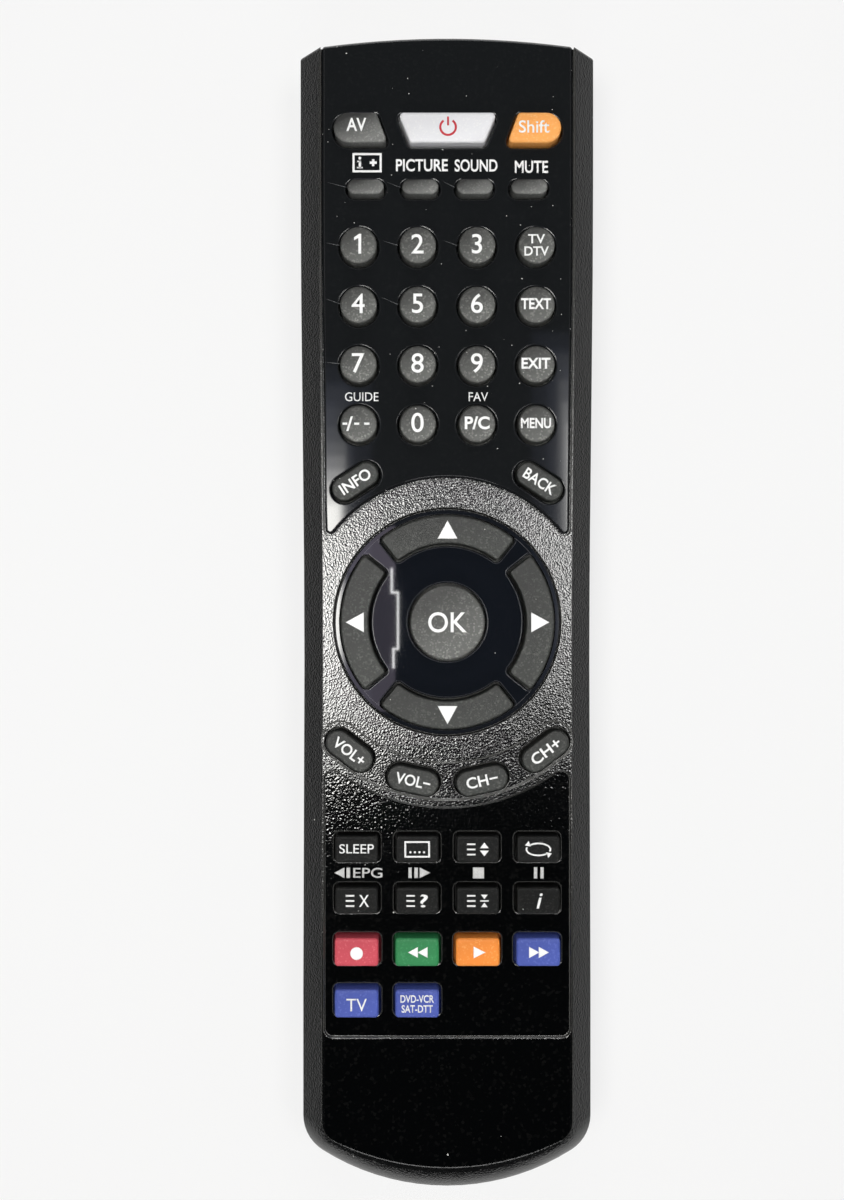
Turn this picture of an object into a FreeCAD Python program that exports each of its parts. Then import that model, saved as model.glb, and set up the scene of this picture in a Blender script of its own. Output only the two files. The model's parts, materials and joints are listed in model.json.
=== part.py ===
import FreeCAD, Part
import math
import os

# A hand-held television remote control, in millimetres. X points to the right,
# Y to the infrared end and Z up through the keys. The origin is on the table,
# under the middle of the case.

Vector = FreeCAD.Vector
UP = Vector(0, 0, 1)
os.makedirs("parts", exist_ok=True)

# Outline of the case, seen from above
overall_length = 205.0
half_width_head = 26.33
half_width_waist = 25.65
half_width_tail = 25.85
head_to_widest = 23.5
head_to_waist = 110.5
tail_to_straight = 36.5
head_arc_radius = 165.0
head_corner_radius = 0.6
tail_arc_radius = 42.0
tail_corner_radius = 7.5
least_tail_corner = 1.5

# Sloped flanks beside the flat top, and the soft bevel round the tail
flank_width = 3.6
flank_drop = 3.3
tail_bevel_width = 4.8
tail_bevel_bulge = 0.55
tail_bevel_steps = 3
plateau_tail_radius = 45.5

# Belly of the rear case
parting_height = 11.0
belly_round_width = 5.0
belly_round_height = 8.0
belly_head_round_width = 2.6
belly_steps = 4
inner_round_width = 3.0
inner_head_round_width = 1.6

# Walls
wall = 1.9
flank_wall = 1.4
floor_thickness = 2.0
top_plate = 2.4
lip_height = 1.4
lip_gap = 0.1
parting_groove = 0.15
catch_to_head = 22.5
catch_pitch = 49.3
catch_count = 4
catch_length = 6.0
catch_reach = 0.4
catch_height = 0.6
catch_gap = 0.15

# Stack of parts between the table and the flat top
cover_thickness = 1.6
cell_diameter = 10.5
cell_length = 44.5
cell_nub_diameter = 3.8
cell_nub_height = 0.8
cell_edge_round = 0.4
cell_gap = 0.25
bay_roof = 1.0
board_support = 0.6
board_thickness = 1.2
mat_thickness = 0.8
flange_thickness = 0.8
key_travel = 1.0
travel_margin = 0.1

# Keys
key_rise = 1.8
key_gap = 0.4
key_edge_round = 0.3
flange_reach = 0.7
plunger_radius = 1.1
pill_thickness = 0.4
plunger_gap = 0.35

# Glossy panel round the upper keys
panel_recess = 1.0
panel_thickness = 1.15
panel_gap = 0.3
panel_lip = 0.25
panel_tip_radius = 0.9
panel_edge_bevel = 0.4
rim_bevel = 0.2
fine_rim_bevel = 0.12

# Navigation pad
nav_to_edge = 5.55
nav_recess_depth = 1.2
bezel_gap = 0.2
bezel_rim_width = 0.75
bezel_height = 1.05
bezel_rim_rise = 0.25
ok_radius = 6.57
arc_key_rim_gap = 0.35
arc_key_width = 4.9
arc_key_half_angle = 39.0
arc_key_corner = 0.7
arc_flange_reach = 0.5

# Crescent channel with the volume and channel keys
ring_band_width = 4.9
channel_width = 6.45
channel_to_panel = 0.6
channel_beyond_rocker = 2.5
channel_depth = 0.4
channel_step = 0.15
rocker_to_channel = 3.5
rocker_first_place = 6.12
rocker_pitch = 12.43
rocker_length = 9.2
rocker_width = 4.4
rocker_flange_reach = 0.5

# Recessed area with the lower keys
channel_to_recess = 1.55
recess_to_edge = 3.9
lower_end_margin = 6.5
lower_corner_radius = 1.5
lower_depth = 0.5

# Rows and columns of keys, counted from the head end
head_to_first_row = 16.5
first_to_second_row = 10.4
second_row_to_numbers = 10.3
number_row_pitch = 10.47
number_column_to_edge = 10.0
number_radius = 3.2
pill_key_to_edge = 11.25
pill_key_length = 6.4
pill_key_width = 2.6
numbers_to_nav = 34.9
info_to_panel_arc = 4.0
info_to_edge = 9.44
info_length = 8.9
info_width = 4.2
nav_to_lower_keys = 39.9
lower_row_pitch = 9.05
lower_key_to_recess = 5.775
lower_key_length = 7.5
lower_key_width = 4.6
colour_key_length = 7.7
colour_key_width = 4.9
lower_key_corner = 0.6
power_top_width = 17.5
power_bottom_width = 13.1
first_row_height = 5.25
first_row_corner = 0.7
side_key_to_edge = 6.33
side_key_top_inner = 12.5
side_key_bottom_inner = 10.55

# Battery bay, its cover and the contacts
bay_to_tail = 20.2
cell_spacing = 11.0
bay_side_gap = 0.35
bay_wall = 1.2
spring_space = 5.0
plate_thickness = 0.4
plate_width = 9.0
plate_gap = 0.05
plate_bottom_gap = 0.6
tab_width = 3.0
tab_gap = 0.1
spring_wire = 0.5
spring_turns = 3
spring_base_radius = 3.9
spring_tip_radius = 1.8
spring_foot_reach = 1.8
cover_half_width = 16.0
cover_head_reach = 3.4
cover_gap = 0.15
rail_reach = 1.0
rail_ledge = 0.7
rail_wall = 1.4
rail_roof = 1.45
ridge_count = 6
ridge_pitch = 2.2
ridge_width = 0.9
ridge_depth = 0.35
ridge_length = 18.0
ridge_to_tail = 14.0

# Circuit board, rubber mat and what holds them
board_side_gap = 0.5
board_head_margin = 11.5
board_beyond_mat = 3.0
board_corner = 3.0
mat_side_margin = 0.8
mat_head_margin = 2.6
mat_beyond_keys = 6.0
clamp_pin_radius = 0.7
post_radius = 1.6
post_inset = 5.2
post_pitch = 29.0

# Infrared window and diode
window_half_width = 9.85
window_bottom_margin = 1.35
window_height = 4.3
window_gap = 0.15
window_flange = 1.0
window_flange_thickness = 0.8
led_radius = 2.5
led_rim_radius = 2.9
led_rim_length = 1.0
led_body_length = 4.6
led_window_gap = 0.3
led_height_above_board = 0.6
led_lead_radius = 0.25
led_lead_spacing = 2.54
led_lead_reach = 2.4

# Parts soldered to the underside of the board
chip_dome_radius = 5.0
chip_dome_height = 1.3
capacitor_radius = 2.5
capacitor_length = 7.0
resonator_length = 7.5
resonator_width = 3.0
resonator_height = 3.5
small_part_length = 3.2
small_part_width = 1.6
small_part_height = 0.9
small_part_count = 5
small_part_pitch = 6.0

# Widths that follow from the case and the navigation pad
narrowest = min(half_width_head, half_width_waist, half_width_tail)
nav_recess_radius = narrowest - nav_to_edge
arc_key_outer = nav_recess_radius - bezel_gap - bezel_rim_width - arc_key_rim_gap
arc_key_inner = arc_key_outer - arc_key_width
channel_inner = nav_recess_radius + ring_band_width
channel_outer = channel_inner + channel_width
rocker_radius = channel_inner + rocker_to_channel
rocker_first_angle = math.degrees(rocker_first_place / rocker_radius)
rocker_second_angle = math.degrees((rocker_first_place + rocker_pitch) / rocker_radius)
channel_half_angle = rocker_second_angle + math.degrees(channel_beyond_rocker / rocker_radius)
panel_arc_radius = channel_inner + channel_to_panel
info_radius = panel_arc_radius + info_to_panel_arc
info_angle = math.degrees(math.asin((narrowest - info_to_edge) / info_radius))
lower_arc_radius = channel_outer + channel_to_recess
lower_half_width = narrowest - recess_to_edge
number_column_pitch = (narrowest - number_column_to_edge) / 1.5
pill_key_pitch = (narrowest - pill_key_to_edge) / 1.5
lower_column_pitch = (lower_half_width - lower_key_to_recess) / 1.5
side_key_end = half_width_head - side_key_to_edge

# Heights that follow from the stack
cell_bottom = cover_thickness + cell_gap
cell_centre = cell_bottom + cell_diameter / 2
roof_bottom = cell_bottom + cell_diameter + cell_gap
roof_top = roof_bottom + bay_roof
board_bottom = roof_top + board_support
board_top = board_bottom + board_thickness
mat_top = board_top + mat_thickness
flange_bottom = mat_top + key_travel + travel_margin
flange_top = flange_bottom + flange_thickness
plate_underside = flange_top
plateau = plate_underside + top_plate
shoulder = plateau - flank_drop
key_top = plateau + key_rise
pill_bottom = board_top + key_travel + travel_margin
pill_top = pill_bottom + pill_thickness
panel_bottom = plateau - panel_recess
nav_floor = plateau - nav_recess_depth

# Places along the case that follow from its ends
head_y = overall_length / 2
tail_y = -overall_length / 2
first_row_y = head_y - head_to_first_row
second_row_y = first_row_y - first_to_second_row
number_row_y = second_row_y - second_row_to_numbers
nav_y = number_row_y - 3 * number_row_pitch - numbers_to_nav
lower_row_y = nav_y - nav_to_lower_keys
lower_end_y = lower_row_y - 3 * lower_row_pitch - lower_end_margin
bay_tail = tail_y + bay_to_tail
bay_length = cell_length + spring_space + 2 * plate_thickness + 2 * plate_gap
bay_head = bay_tail + bay_length
bay_half_width = (cell_spacing + cell_diameter) / 2 + bay_side_gap
board_head = head_y - board_head_margin
mat_tail = lower_row_y - 3 * lower_row_pitch - mat_beyond_keys
board_tail = mat_tail - board_beyond_mat
board_half_width = narrowest - wall - board_side_gap


def outline(z, side=0.0, head=0.0, tail=0.0, tail_radius=None):
    """Closed outline of the case at height z, drawn in by the given amounts."""
    wide = half_width_head - side
    waist = half_width_waist - side
    straight = half_width_tail - side
    top = head_y - head
    bottom = tail_y + tail
    widest_y = head_y - head_to_widest
    waist_y = head_y - head_to_waist
    straight_y = tail_y + tail_to_straight
    head_radius = head_arc_radius - head
    end_radius = tail_radius if tail_radius else tail_arc_radius - tail
    corner = max(tail_corner_radius - side, least_tail_corner)

    head_centre = Vector(0, top - head_radius, z)
    rise = math.sqrt((head_radius - head_corner_radius) ** 2 - (wide - head_corner_radius) ** 2)
    head_corner = Vector(wide - head_corner_radius, head_centre.y + rise, z)
    head_touch = touch_point(head_centre, head_corner, head_radius)

    tail_centre = Vector(0, bottom + end_radius, z)
    fall = math.sqrt((end_radius - corner) ** 2 - (straight - corner) ** 2)
    tail_corner = Vector(straight - corner, tail_centre.y - fall, z)
    tail_touch = touch_point(tail_centre, tail_corner, end_radius)

    right = [
        arc_about(head_corner, head_corner_radius, head_touch, Vector(wide, head_corner.y, z)),
        line(Vector(wide, head_corner.y, z), Vector(wide, widest_y, z)),
        side_curve(wide, widest_y, waist, waist_y, z),
        side_curve(waist, waist_y, straight, straight_y, z),
        line(Vector(straight, straight_y, z), Vector(straight, tail_corner.y, z)),
        arc_about(tail_corner, corner, Vector(straight, tail_corner.y, z), tail_touch),
    ]
    left = [edge.mirror(Vector(0, 0, 0), Vector(1, 0, 0)) for edge in reversed(right)]
    head_edge = Part.Arc(mirrored(head_touch), Vector(0, top, z), head_touch).toShape()
    tail_edge = Part.Arc(tail_touch, Vector(0, bottom, z), mirrored(tail_touch)).toShape()
    edges = [head_edge] + right + [tail_edge] + left
    return Part.Wire(Part.__sortEdges__(edges))


def mirrored(point):
    return Vector(-point.x, point.y, point.z)


def line(start, end):
    return Part.LineSegment(start, end).toShape()


def touch_point(big_centre, small_centre, big_radius):
    """Where a small corner arc meets the large end arc that it runs into."""
    direction = Vector(small_centre - big_centre)
    direction.normalize()
    return big_centre + direction * big_radius


def arc_about(centre, radius, start, end):
    """The short arc from start to end about a centre."""
    middle = (start - centre) + (end - centre)
    middle.normalize()
    return Part.Arc(start, centre + middle * radius, end).toShape()


def side_curve(start_x, start_y, end_x, end_y, z):
    """A gentle S from one half-width to another, straight ahead at both ends."""
    step = (end_y - start_y) / 3
    curve = Part.BezierCurve()
    curve.setPoles([
        Vector(start_x, start_y, z),
        Vector(start_x, start_y + step, z),
        Vector(end_x, end_y - step, z),
        Vector(end_x, end_y, z),
    ])
    return curve.toShape()


def half_width_at(y):
    """Half-width of the case at a place along it."""
    widest_y = head_y - head_to_widest
    waist_y = head_y - head_to_waist
    straight_y = tail_y + tail_to_straight
    if y >= waist_y:
        share = min((y - waist_y) / (widest_y - waist_y), 1.0)
        other = half_width_head
    else:
        share = min((waist_y - y) / (waist_y - straight_y), 1.0)
        other = half_width_tail
    blend = 3 * share ** 2 - 2 * share ** 3
    return half_width_waist + (other - half_width_waist) * blend


def prism(wire, bottom, top):
    """A solid straight up from a wire, between two heights."""
    face = Part.Face(wire)
    face.translate(Vector(0, 0, bottom - face.BoundBox.ZMin))
    return face.extrude(Vector(0, 0, top - bottom))


def rim(outer, inner, bottom, top):
    """The wall between two outlines, between two heights."""
    return prism(outer, bottom, top).cut(prism(inner, bottom, top))


def box(x0, x1, y0, y1, z0, z1):
    return Part.makeBox(x1 - x0, y1 - y0, z1 - z0, Vector(x0, y0, z0))


def cylinder(radius, x, y, z0, z1):
    return Part.makeCylinder(radius, z1 - z0, Vector(x, y, z0), UP)


def upright_edges(solid):
    """The edges of a solid that run straight up."""
    return [edge for edge in solid.Edges
            if edge.BoundBox.XLength < 1e-4 and edge.BoundBox.YLength < 1e-4]


def edges_at_height(solid, z):
    return [edge for edge in solid.Edges
            if abs(edge.BoundBox.ZMin - z) < 1e-5 and abs(edge.BoundBox.ZMax - z) < 1e-5]


def fused(pieces):
    return pieces[0].multiFuse(pieces[1:]).removeSplitter()


# Outlines of the keys, each about its own middle, grown by a margin

def round_wire(radius, grow):
    return Part.Wire(Part.Circle(Vector(0, 0, 0), UP, radius + grow).toShape())


def bar_wire(length, width, corner, grow):
    """A rectangle with round corners; a full half-round where corner is half the width."""
    half_x = length / 2 + grow
    half_y = width / 2 + grow
    radius = min(corner + grow, half_x, half_y)
    return rounded_polygon([
        (half_x, half_y), (-half_x, half_y), (-half_x, -half_y), (half_x, -half_y)], radius)


def rounded_corner(before, here, after, radius):
    """Start, middle and end of the arc that rounds the corner at here."""
    back = before - here
    ahead = after - here
    back.normalize()
    ahead.normalize()
    half_angle = back.getAngle(ahead) / 2
    reach = radius / math.tan(half_angle)
    inward = back + ahead
    inward.normalize()
    centre = here + inward * (radius / math.sin(half_angle))
    return here + back * reach, centre - inward * radius, here + ahead * reach


def rounded_polygon(corners, radius):
    """A closed outline through corners, each corner rounded by the same radius."""
    points = [Vector(x, y, 0) for x, y in corners]
    count = len(points)
    arcs = [rounded_corner(points[index - 1], points[index], points[(index + 1) % count], radius)
            for index in range(count)]
    edges = []
    for index, (start, middle, end) in enumerate(arcs):
        edges.append(Part.Arc(start, middle, end).toShape())
        following = arcs[(index + 1) % count][0]
        if end.distanceToPoint(following) > 1e-4:
            edges.append(line(end, following))
    return Part.Wire(edges)


def shifted_polygon(corners, grow):
    """The corners of a convex outline after each side moves outward by grow."""
    moved = []
    count = len(corners)
    for index, corner in enumerate(corners):
        here = Vector(corner[0], corner[1], 0)
        before = Vector(*corners[index - 1], 0) - here
        after = Vector(*corners[(index + 1) % count], 0) - here
        before.normalize()
        after.normalize()
        half_angle = before.getAngle(after) / 2
        middle = before + after
        middle.normalize()
        point = here - middle * (grow / math.sin(half_angle))
        moved.append((point.x, point.y))
    return moved


def power_wire(grow):
    top = power_top_width / 2
    bottom = power_bottom_width / 2
    half = first_row_height / 2
    corners = [(top, half), (-top, half), (-bottom, -half), (bottom, -half)]
    return rounded_polygon(shifted_polygon(corners, grow), first_row_corner + grow)


side_key_middle_inner = (side_key_top_inner + side_key_bottom_inner) / 2
side_key_centre = (side_key_end + side_key_middle_inner) / 2


def side_key_wire(grow):
    """The key right of the power key: a round outer end and a slanted inner end."""
    half = first_row_height / 2 + grow
    round_centre = side_key_end - first_row_height / 2 - side_key_centre
    lean = (side_key_top_inner - side_key_bottom_inner) / first_row_height
    middle_inner = side_key_middle_inner - side_key_centre - grow * math.hypot(lean, 1)
    top_outer = Vector(round_centre, half, 0)
    bottom_outer = Vector(round_centre, -half, 0)
    top_inner = Vector(middle_inner + lean * half, half, 0)
    bottom_inner = Vector(middle_inner - lean * half, -half, 0)
    radius = first_row_corner + grow
    upper = rounded_corner(top_outer, top_inner, bottom_inner, radius)
    lower = rounded_corner(top_inner, bottom_inner, bottom_outer, radius)
    return Part.Wire([
        line(top_outer, upper[0]),
        Part.Arc(*upper).toShape(),
        line(upper[2], lower[0]),
        Part.Arc(*lower).toShape(),
        line(lower[2], bottom_outer),
        Part.Arc(bottom_outer, Vector(round_centre + half, 0, 0), top_outer).toShape(),
    ])


def mirrored_side_key_wire(grow):
    return side_key_wire(grow).mirror(Vector(0, 0, 0), Vector(1, 0, 0))


def arc_key_solid(grow, bottom, top):
    """One quarter of the direction ring, opening about +Y, its centre on the ring's."""
    inner = arc_key_inner - grow
    outer = arc_key_outer + grow
    angle = math.radians(arc_key_half_angle)

    def corner(radius, side):
        along = math.sqrt(radius ** 2 - grow ** 2)
        return Vector(side * (grow * math.cos(angle) + along * math.sin(angle)),
                      along * math.cos(angle) - grow * math.sin(angle), 0)

    wire = Part.Wire([
        Part.Arc(corner(outer, -1), Vector(0, outer, 0), corner(outer, 1)).toShape(),
        line(corner(outer, 1), corner(inner, 1)),
        Part.Arc(corner(inner, 1), Vector(0, inner, 0), corner(inner, -1)).toShape(),
        line(corner(inner, -1), corner(outer, -1)),
    ])
    piece = prism(wire, bottom, top)
    return piece.makeFillet(arc_key_corner + grow / 2, upright_edges(piece))


class Key:
    """One key: its name, its outline and its place."""

    def __init__(self, name, wire_maker, x, y, turn=0.0, reach=flange_reach):
        self.name = name
        self.wire_maker = wire_maker
        self.x = x
        self.y = y
        self.turn = turn
        self.reach = reach
        self.plunger_offset = 0.0

    def block(self, grow, bottom, top):
        """The key's outline, grown by a margin, as a solid between two heights."""
        solid = prism(self.wire_maker(grow), bottom, top)
        return self.placed(solid)

    def placed(self, solid):
        solid.rotate(Vector(0, 0, 0), UP, self.turn)
        solid.translate(Vector(self.x, self.y, 0))
        return solid

    def plunger_place(self):
        turn = math.radians(self.turn)
        return (self.x - self.plunger_offset * math.sin(turn),
                self.y + self.plunger_offset * math.cos(turn))


class ArcKey(Key):
    """One of the four direction keys, whose middle lies away from the ring's centre."""

    def __init__(self, name, turn):
        super().__init__(name, None, 0.0, nav_y, turn, arc_flange_reach)
        self.plunger_offset = (arc_key_inner + arc_key_outer) / 2

    def block(self, grow, bottom, top):
        return self.placed(arc_key_solid(grow, bottom, top))


def number_keys():
    names = [
        ["key_1", "key_2", "key_3", "key_tv"],
        ["key_4", "key_5", "key_6", "key_text"],
        ["key_7", "key_8", "key_9", "key_exit"],
        ["key_digits", "key_0", "key_previous", "key_menu"],
    ]
    keys = []
    for row, row_names in enumerate(names):
        for column, name in enumerate(row_names):
            keys.append(Key(
                name,
                lambda grow: round_wire(number_radius, grow),
                (column - 1.5) * number_column_pitch,
                number_row_y - row * number_row_pitch))
    return keys


def pill_keys():
    names = ["key_input_info", "key_picture", "key_sound", "key_mute"]
    return [Key(
        name,
        lambda grow: bar_wire(pill_key_length, pill_key_width, pill_key_width / 2, grow),
        (column - 1.5) * pill_key_pitch,
        second_row_y) for column, name in enumerate(names)]


def first_row_keys():
    return [
        Key("key_power", power_wire, 0.0, first_row_y),
        Key("key_av", mirrored_side_key_wire, -side_key_centre, first_row_y),
        Key("key_shift", side_key_wire, side_key_centre, first_row_y),
    ]


def slanted_key(name, length, width, radius, angle, turn, reach=flange_reach):
    """A half-round-ended key on a circle about the navigation pad."""
    place = math.radians(angle)
    return Key(
        name,
        lambda grow: bar_wire(length, width, width / 2, grow),
        radius * math.sin(place),
        nav_y + radius * math.cos(place),
        turn,
        reach)


def beside_ring_keys():
    """The two tilted keys at the panel's tips, left and right of the pad."""
    return [
        slanted_key("key_info", info_length, info_width, info_radius, -info_angle, info_angle),
        slanted_key("key_back", info_length, info_width, info_radius, info_angle, -info_angle),
    ]


def channel_keys():
    """The volume and channel keys that follow the crescent channel."""
    rockers = [
        ("key_volume_up", -rocker_second_angle),
        ("key_volume_down", -rocker_first_angle),
        ("key_channel_down", rocker_first_angle),
        ("key_channel_up", rocker_second_angle),
    ]
    return [slanted_key(
        name, rocker_length, rocker_width, rocker_radius, 180.0 - angle, angle,
        rocker_flange_reach) for name, angle in rockers]


def navigation_keys():
    return [
        Key("key_ok", lambda grow: round_wire(ok_radius, grow), 0.0, nav_y),
        ArcKey("key_up", 0.0),
        ArcKey("key_left", 90.0),
        ArcKey("key_down", 180.0),
        ArcKey("key_right", 270.0),
    ]


def lower_keys():
    rows = [
        (["key_sleep", "key_subtitle", "key_list", "key_swap"],
         lower_key_length, lower_key_width),
        (["key_text_hold", "key_text_reveal", "key_text_time", "key_text_index"],
         lower_key_length, lower_key_width),
        (["key_red", "key_green", "key_orange", "key_blue"],
         colour_key_length, colour_key_width),
        (["key_device_tv", "key_device_player"],
         colour_key_length, colour_key_width),
    ]
    keys = []
    for row, (names, length, width) in enumerate(rows):
        for column, name in enumerate(names):
            keys.append(Key(
                name,
                lambda grow, length=length, width=width: bar_wire(
                    length, width, lower_key_corner, grow),
                (column - 1.5) * lower_column_pitch,
                lower_row_y - row * lower_row_pitch))
    return keys


panel_keys = first_row_keys() + pill_keys() + number_keys() + beside_ring_keys()
bezel_keys = navigation_keys()
plain_keys = channel_keys() + lower_keys()
all_keys = panel_keys + bezel_keys + plain_keys


def key_piece(key):
    """A rubber key with its hidden flange and plunger, and the carbon pill under it."""
    middle = flange_bottom + flange_thickness / 2
    body = key.block(0.0, middle, key_top)
    body = body.makeFillet(key_edge_round, edges_at_height(body, key_top))
    flange = key.block(key_gap + key.reach, flange_bottom, flange_top)
    x, y = key.plunger_place()
    plunger = cylinder(plunger_radius, x, y, pill_top, middle)
    rubber = fused([body, flange, plunger])
    pill = cylinder(plunger_radius, x, y, pill_bottom, pill_top)
    return Part.makeCompound([rubber.Solids[0], pill])


def panel_shape(margin, head, bottom, top):
    """The glossy panel's outline as a solid; margin widens it into its pocket."""
    side = flank_width + panel_lip + panel_gap - margin
    plate = prism(outline(0, side=side, head=head), bottom, top)
    below = box(-overall_length, overall_length, -2 * overall_length, nav_y, bottom, top)
    scoop = cylinder(panel_arc_radius - margin, 0, nav_y, bottom, top)
    plate = plate.cut(below.fuse(scoop)).Solids[0]
    tips = [edge for edge in upright_edges(plate)
            if edge.CenterOfMass.y < nav_y + panel_arc_radius]
    return plate.makeFillet(panel_tip_radius + margin, tips)


def crescent(grow, bottom, top):
    """The shallow channel below the navigation pad, widened by grow."""
    inner = channel_inner - grow
    outer = channel_outer + grow
    middle = (inner + outer) / 2
    angle = math.radians(channel_half_angle)

    def at(radius, side):
        return Vector(side * radius * math.sin(angle), nav_y - radius * math.cos(angle), bottom)

    def cap_edge(side):
        beyond = Vector(side * math.cos(angle), math.sin(angle), 0)
        return Part.Arc(at(outer, side), at(middle, side) + beyond * (outer - inner) / 2,
                        at(inner, side)).toShape()

    outer_edge = Part.Arc(at(outer, -1), Vector(0, nav_y - outer, bottom),
                          at(outer, 1)).toShape()
    inner_edge = Part.Arc(at(inner, -1), Vector(0, nav_y - inner, bottom),
                          at(inner, 1)).toShape()
    wire = Part.Wire(Part.__sortEdges__([outer_edge, cap_edge(1), inner_edge, cap_edge(-1)]))
    return prism(wire, bottom, top)


def lower_recess(bottom, top):
    """The shallow area round the lower keys, its upper edge an arc about the pad."""
    area = box(-lower_half_width, lower_half_width, lower_end_y, nav_y, bottom, top)
    area = area.cut(cylinder(lower_arc_radius, 0, nav_y, bottom, top)).Solids[0]
    return area.makeFillet(lower_corner_radius, upright_edges(area))


def window_area(reach, bottom, top, back, front):
    """Part of the head wall between two depths behind the head end's arc."""
    ring = rim(outline(0, head=front), outline(0, side=wall, head=back), bottom, top)
    return ring.common(box(-reach, reach, head_y / 2, head_y + 1, bottom, top))


def window_face(margin):
    """The window's face in the head wall; margin opens it into the wall's slot."""
    bottom = parting_height + window_bottom_margin
    return window_area(window_half_width + margin, bottom - margin,
                       bottom + window_height + margin, wall + window_flange_thickness / 2, 0)


def clamp_pin_places():
    """Places between the keys where the top plate presses on the rubber mat."""
    upper = [number_row_y - (row + 0.5) * number_row_pitch for row in range(3)]
    lower = [lower_row_y - (row + 0.5) * lower_row_pitch for row in range(3)]
    places = [(side * number_column_pitch, y) for y in upper for side in (-1, 0, 1)]
    places += [(side * lower_column_pitch, y) for y in lower for side in (-1, 0, 1)]
    return places


def catches(margin):
    """The snap catches along both sides; margin widens them into their pockets."""
    blocks = []
    z = parting_height - lip_height / 2
    half_length = catch_length / 2 + margin
    half_height = catch_height / 2 + margin
    for index in range(catch_count):
        y = head_y - catch_to_head - index * catch_pitch
        lip_face = half_width_at(y) - wall / 2 - lip_gap
        for side in (-1, 1):
            ends = sorted((side * (lip_face - wall / 4), side * (lip_face + catch_reach + margin)))
            blocks.append(box(ends[0], ends[1], y - half_length, y + half_length,
                              z - half_height, z + half_height))
    return blocks


def seam():
    """The fine groove round the outside where the two halves of the case meet."""
    return rim(outline(0, side=-1, head=-1, tail=-1),
               outline(0, side=parting_groove, head=parting_groove, tail=parting_groove),
               parting_height - parting_groove, parting_height + parting_groove)


def inner_rims(solid, z):
    """The edges of the holes and recesses in the flat faces at height z."""
    rims = []
    for face in solid.Faces:
        extent = face.BoundBox
        if abs(extent.ZMin - z) > 1e-4 or abs(extent.ZMax - z) > 1e-4:
            continue
        outer = face.OuterWire
        for wire in face.Wires:
            if not wire.isSame(outer):
                rims += wire.Edges
    return rims


def front_case():
    """The upper half of the case with its holes, pockets and inner pins."""
    lower = Part.makeLoft([outline(parting_height), outline(shoulder)], True, True)
    levels = []
    for step in range(tail_bevel_steps + 1):
        share = step / tail_bevel_steps
        bulge = tail_bevel_bulge * math.sin(math.pi * share)
        radius = tail_arc_radius + (plateau_tail_radius - tail_arc_radius) * share
        levels.append(outline(
            shoulder + flank_drop * share,
            side=flank_width * share,
            tail=tail_bevel_width * share - bulge,
            tail_radius=radius))
    upper = Part.makeLoft(levels, True, False)
    body = lower.fuse(upper)

    slope = math.atan2(flank_drop, flank_width)
    inner_shift = flank_wall / math.sin(slope)
    inner_shoulder = shoulder - (inner_shift - wall) * flank_drop / flank_width
    top_share = (plate_underside - shoulder) / flank_drop
    hollow = Part.makeLoft([
        outline(parting_height - 1, side=wall, head=wall, tail=wall),
        outline(inner_shoulder, side=wall, head=wall, tail=wall)], True, True)
    hollow_top = Part.makeLoft([
        outline(inner_shoulder, side=wall, head=wall, tail=wall),
        outline(plate_underside, side=flank_width * top_share + inner_shift, head=wall,
                tail=tail_bevel_width * top_share + inner_shift)], True, True)
    shell = body.cut(hollow.fuse(hollow_top))

    lip = rim(outline(0, side=wall / 2 + lip_gap, head=wall / 2 + lip_gap,
                      tail=wall / 2 + lip_gap),
              outline(0, side=wall, head=wall, tail=wall),
              parting_height - lip_height, parting_height + lip_height)
    pins = [cylinder(clamp_pin_radius, x, y, mat_top, plate_underside + top_plate / 4)
            for x, y in clamp_pin_places()]
    shell = fused([shell, lip] + catches(0.0) + pins)

    above = key_top
    shell = shell.cut([
        panel_shape(panel_gap, -wall, panel_bottom, above),
        cylinder(nav_recess_radius, 0, nav_y, nav_floor, above),
        lower_recess(plateau - lower_depth, above),
        window_face(window_gap),
        seam(),
    ]).Solids[0]
    shell = shell.makeChamfer(rim_bevel, inner_rims(shell, plateau))
    shell = shell.cut([
        crescent(0.0, plateau - channel_depth, above),
        crescent(channel_step, plateau - channel_step, above),
    ]).Solids[0]
    shell = shell.cut([key.block(key_gap, mat_top, above) for key in all_keys]).Solids[0]
    for z in (plateau - channel_depth, plateau - lower_depth):
        shell = shell.makeChamfer(fine_rim_bevel, inner_rims(shell, z))
    return shell


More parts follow.
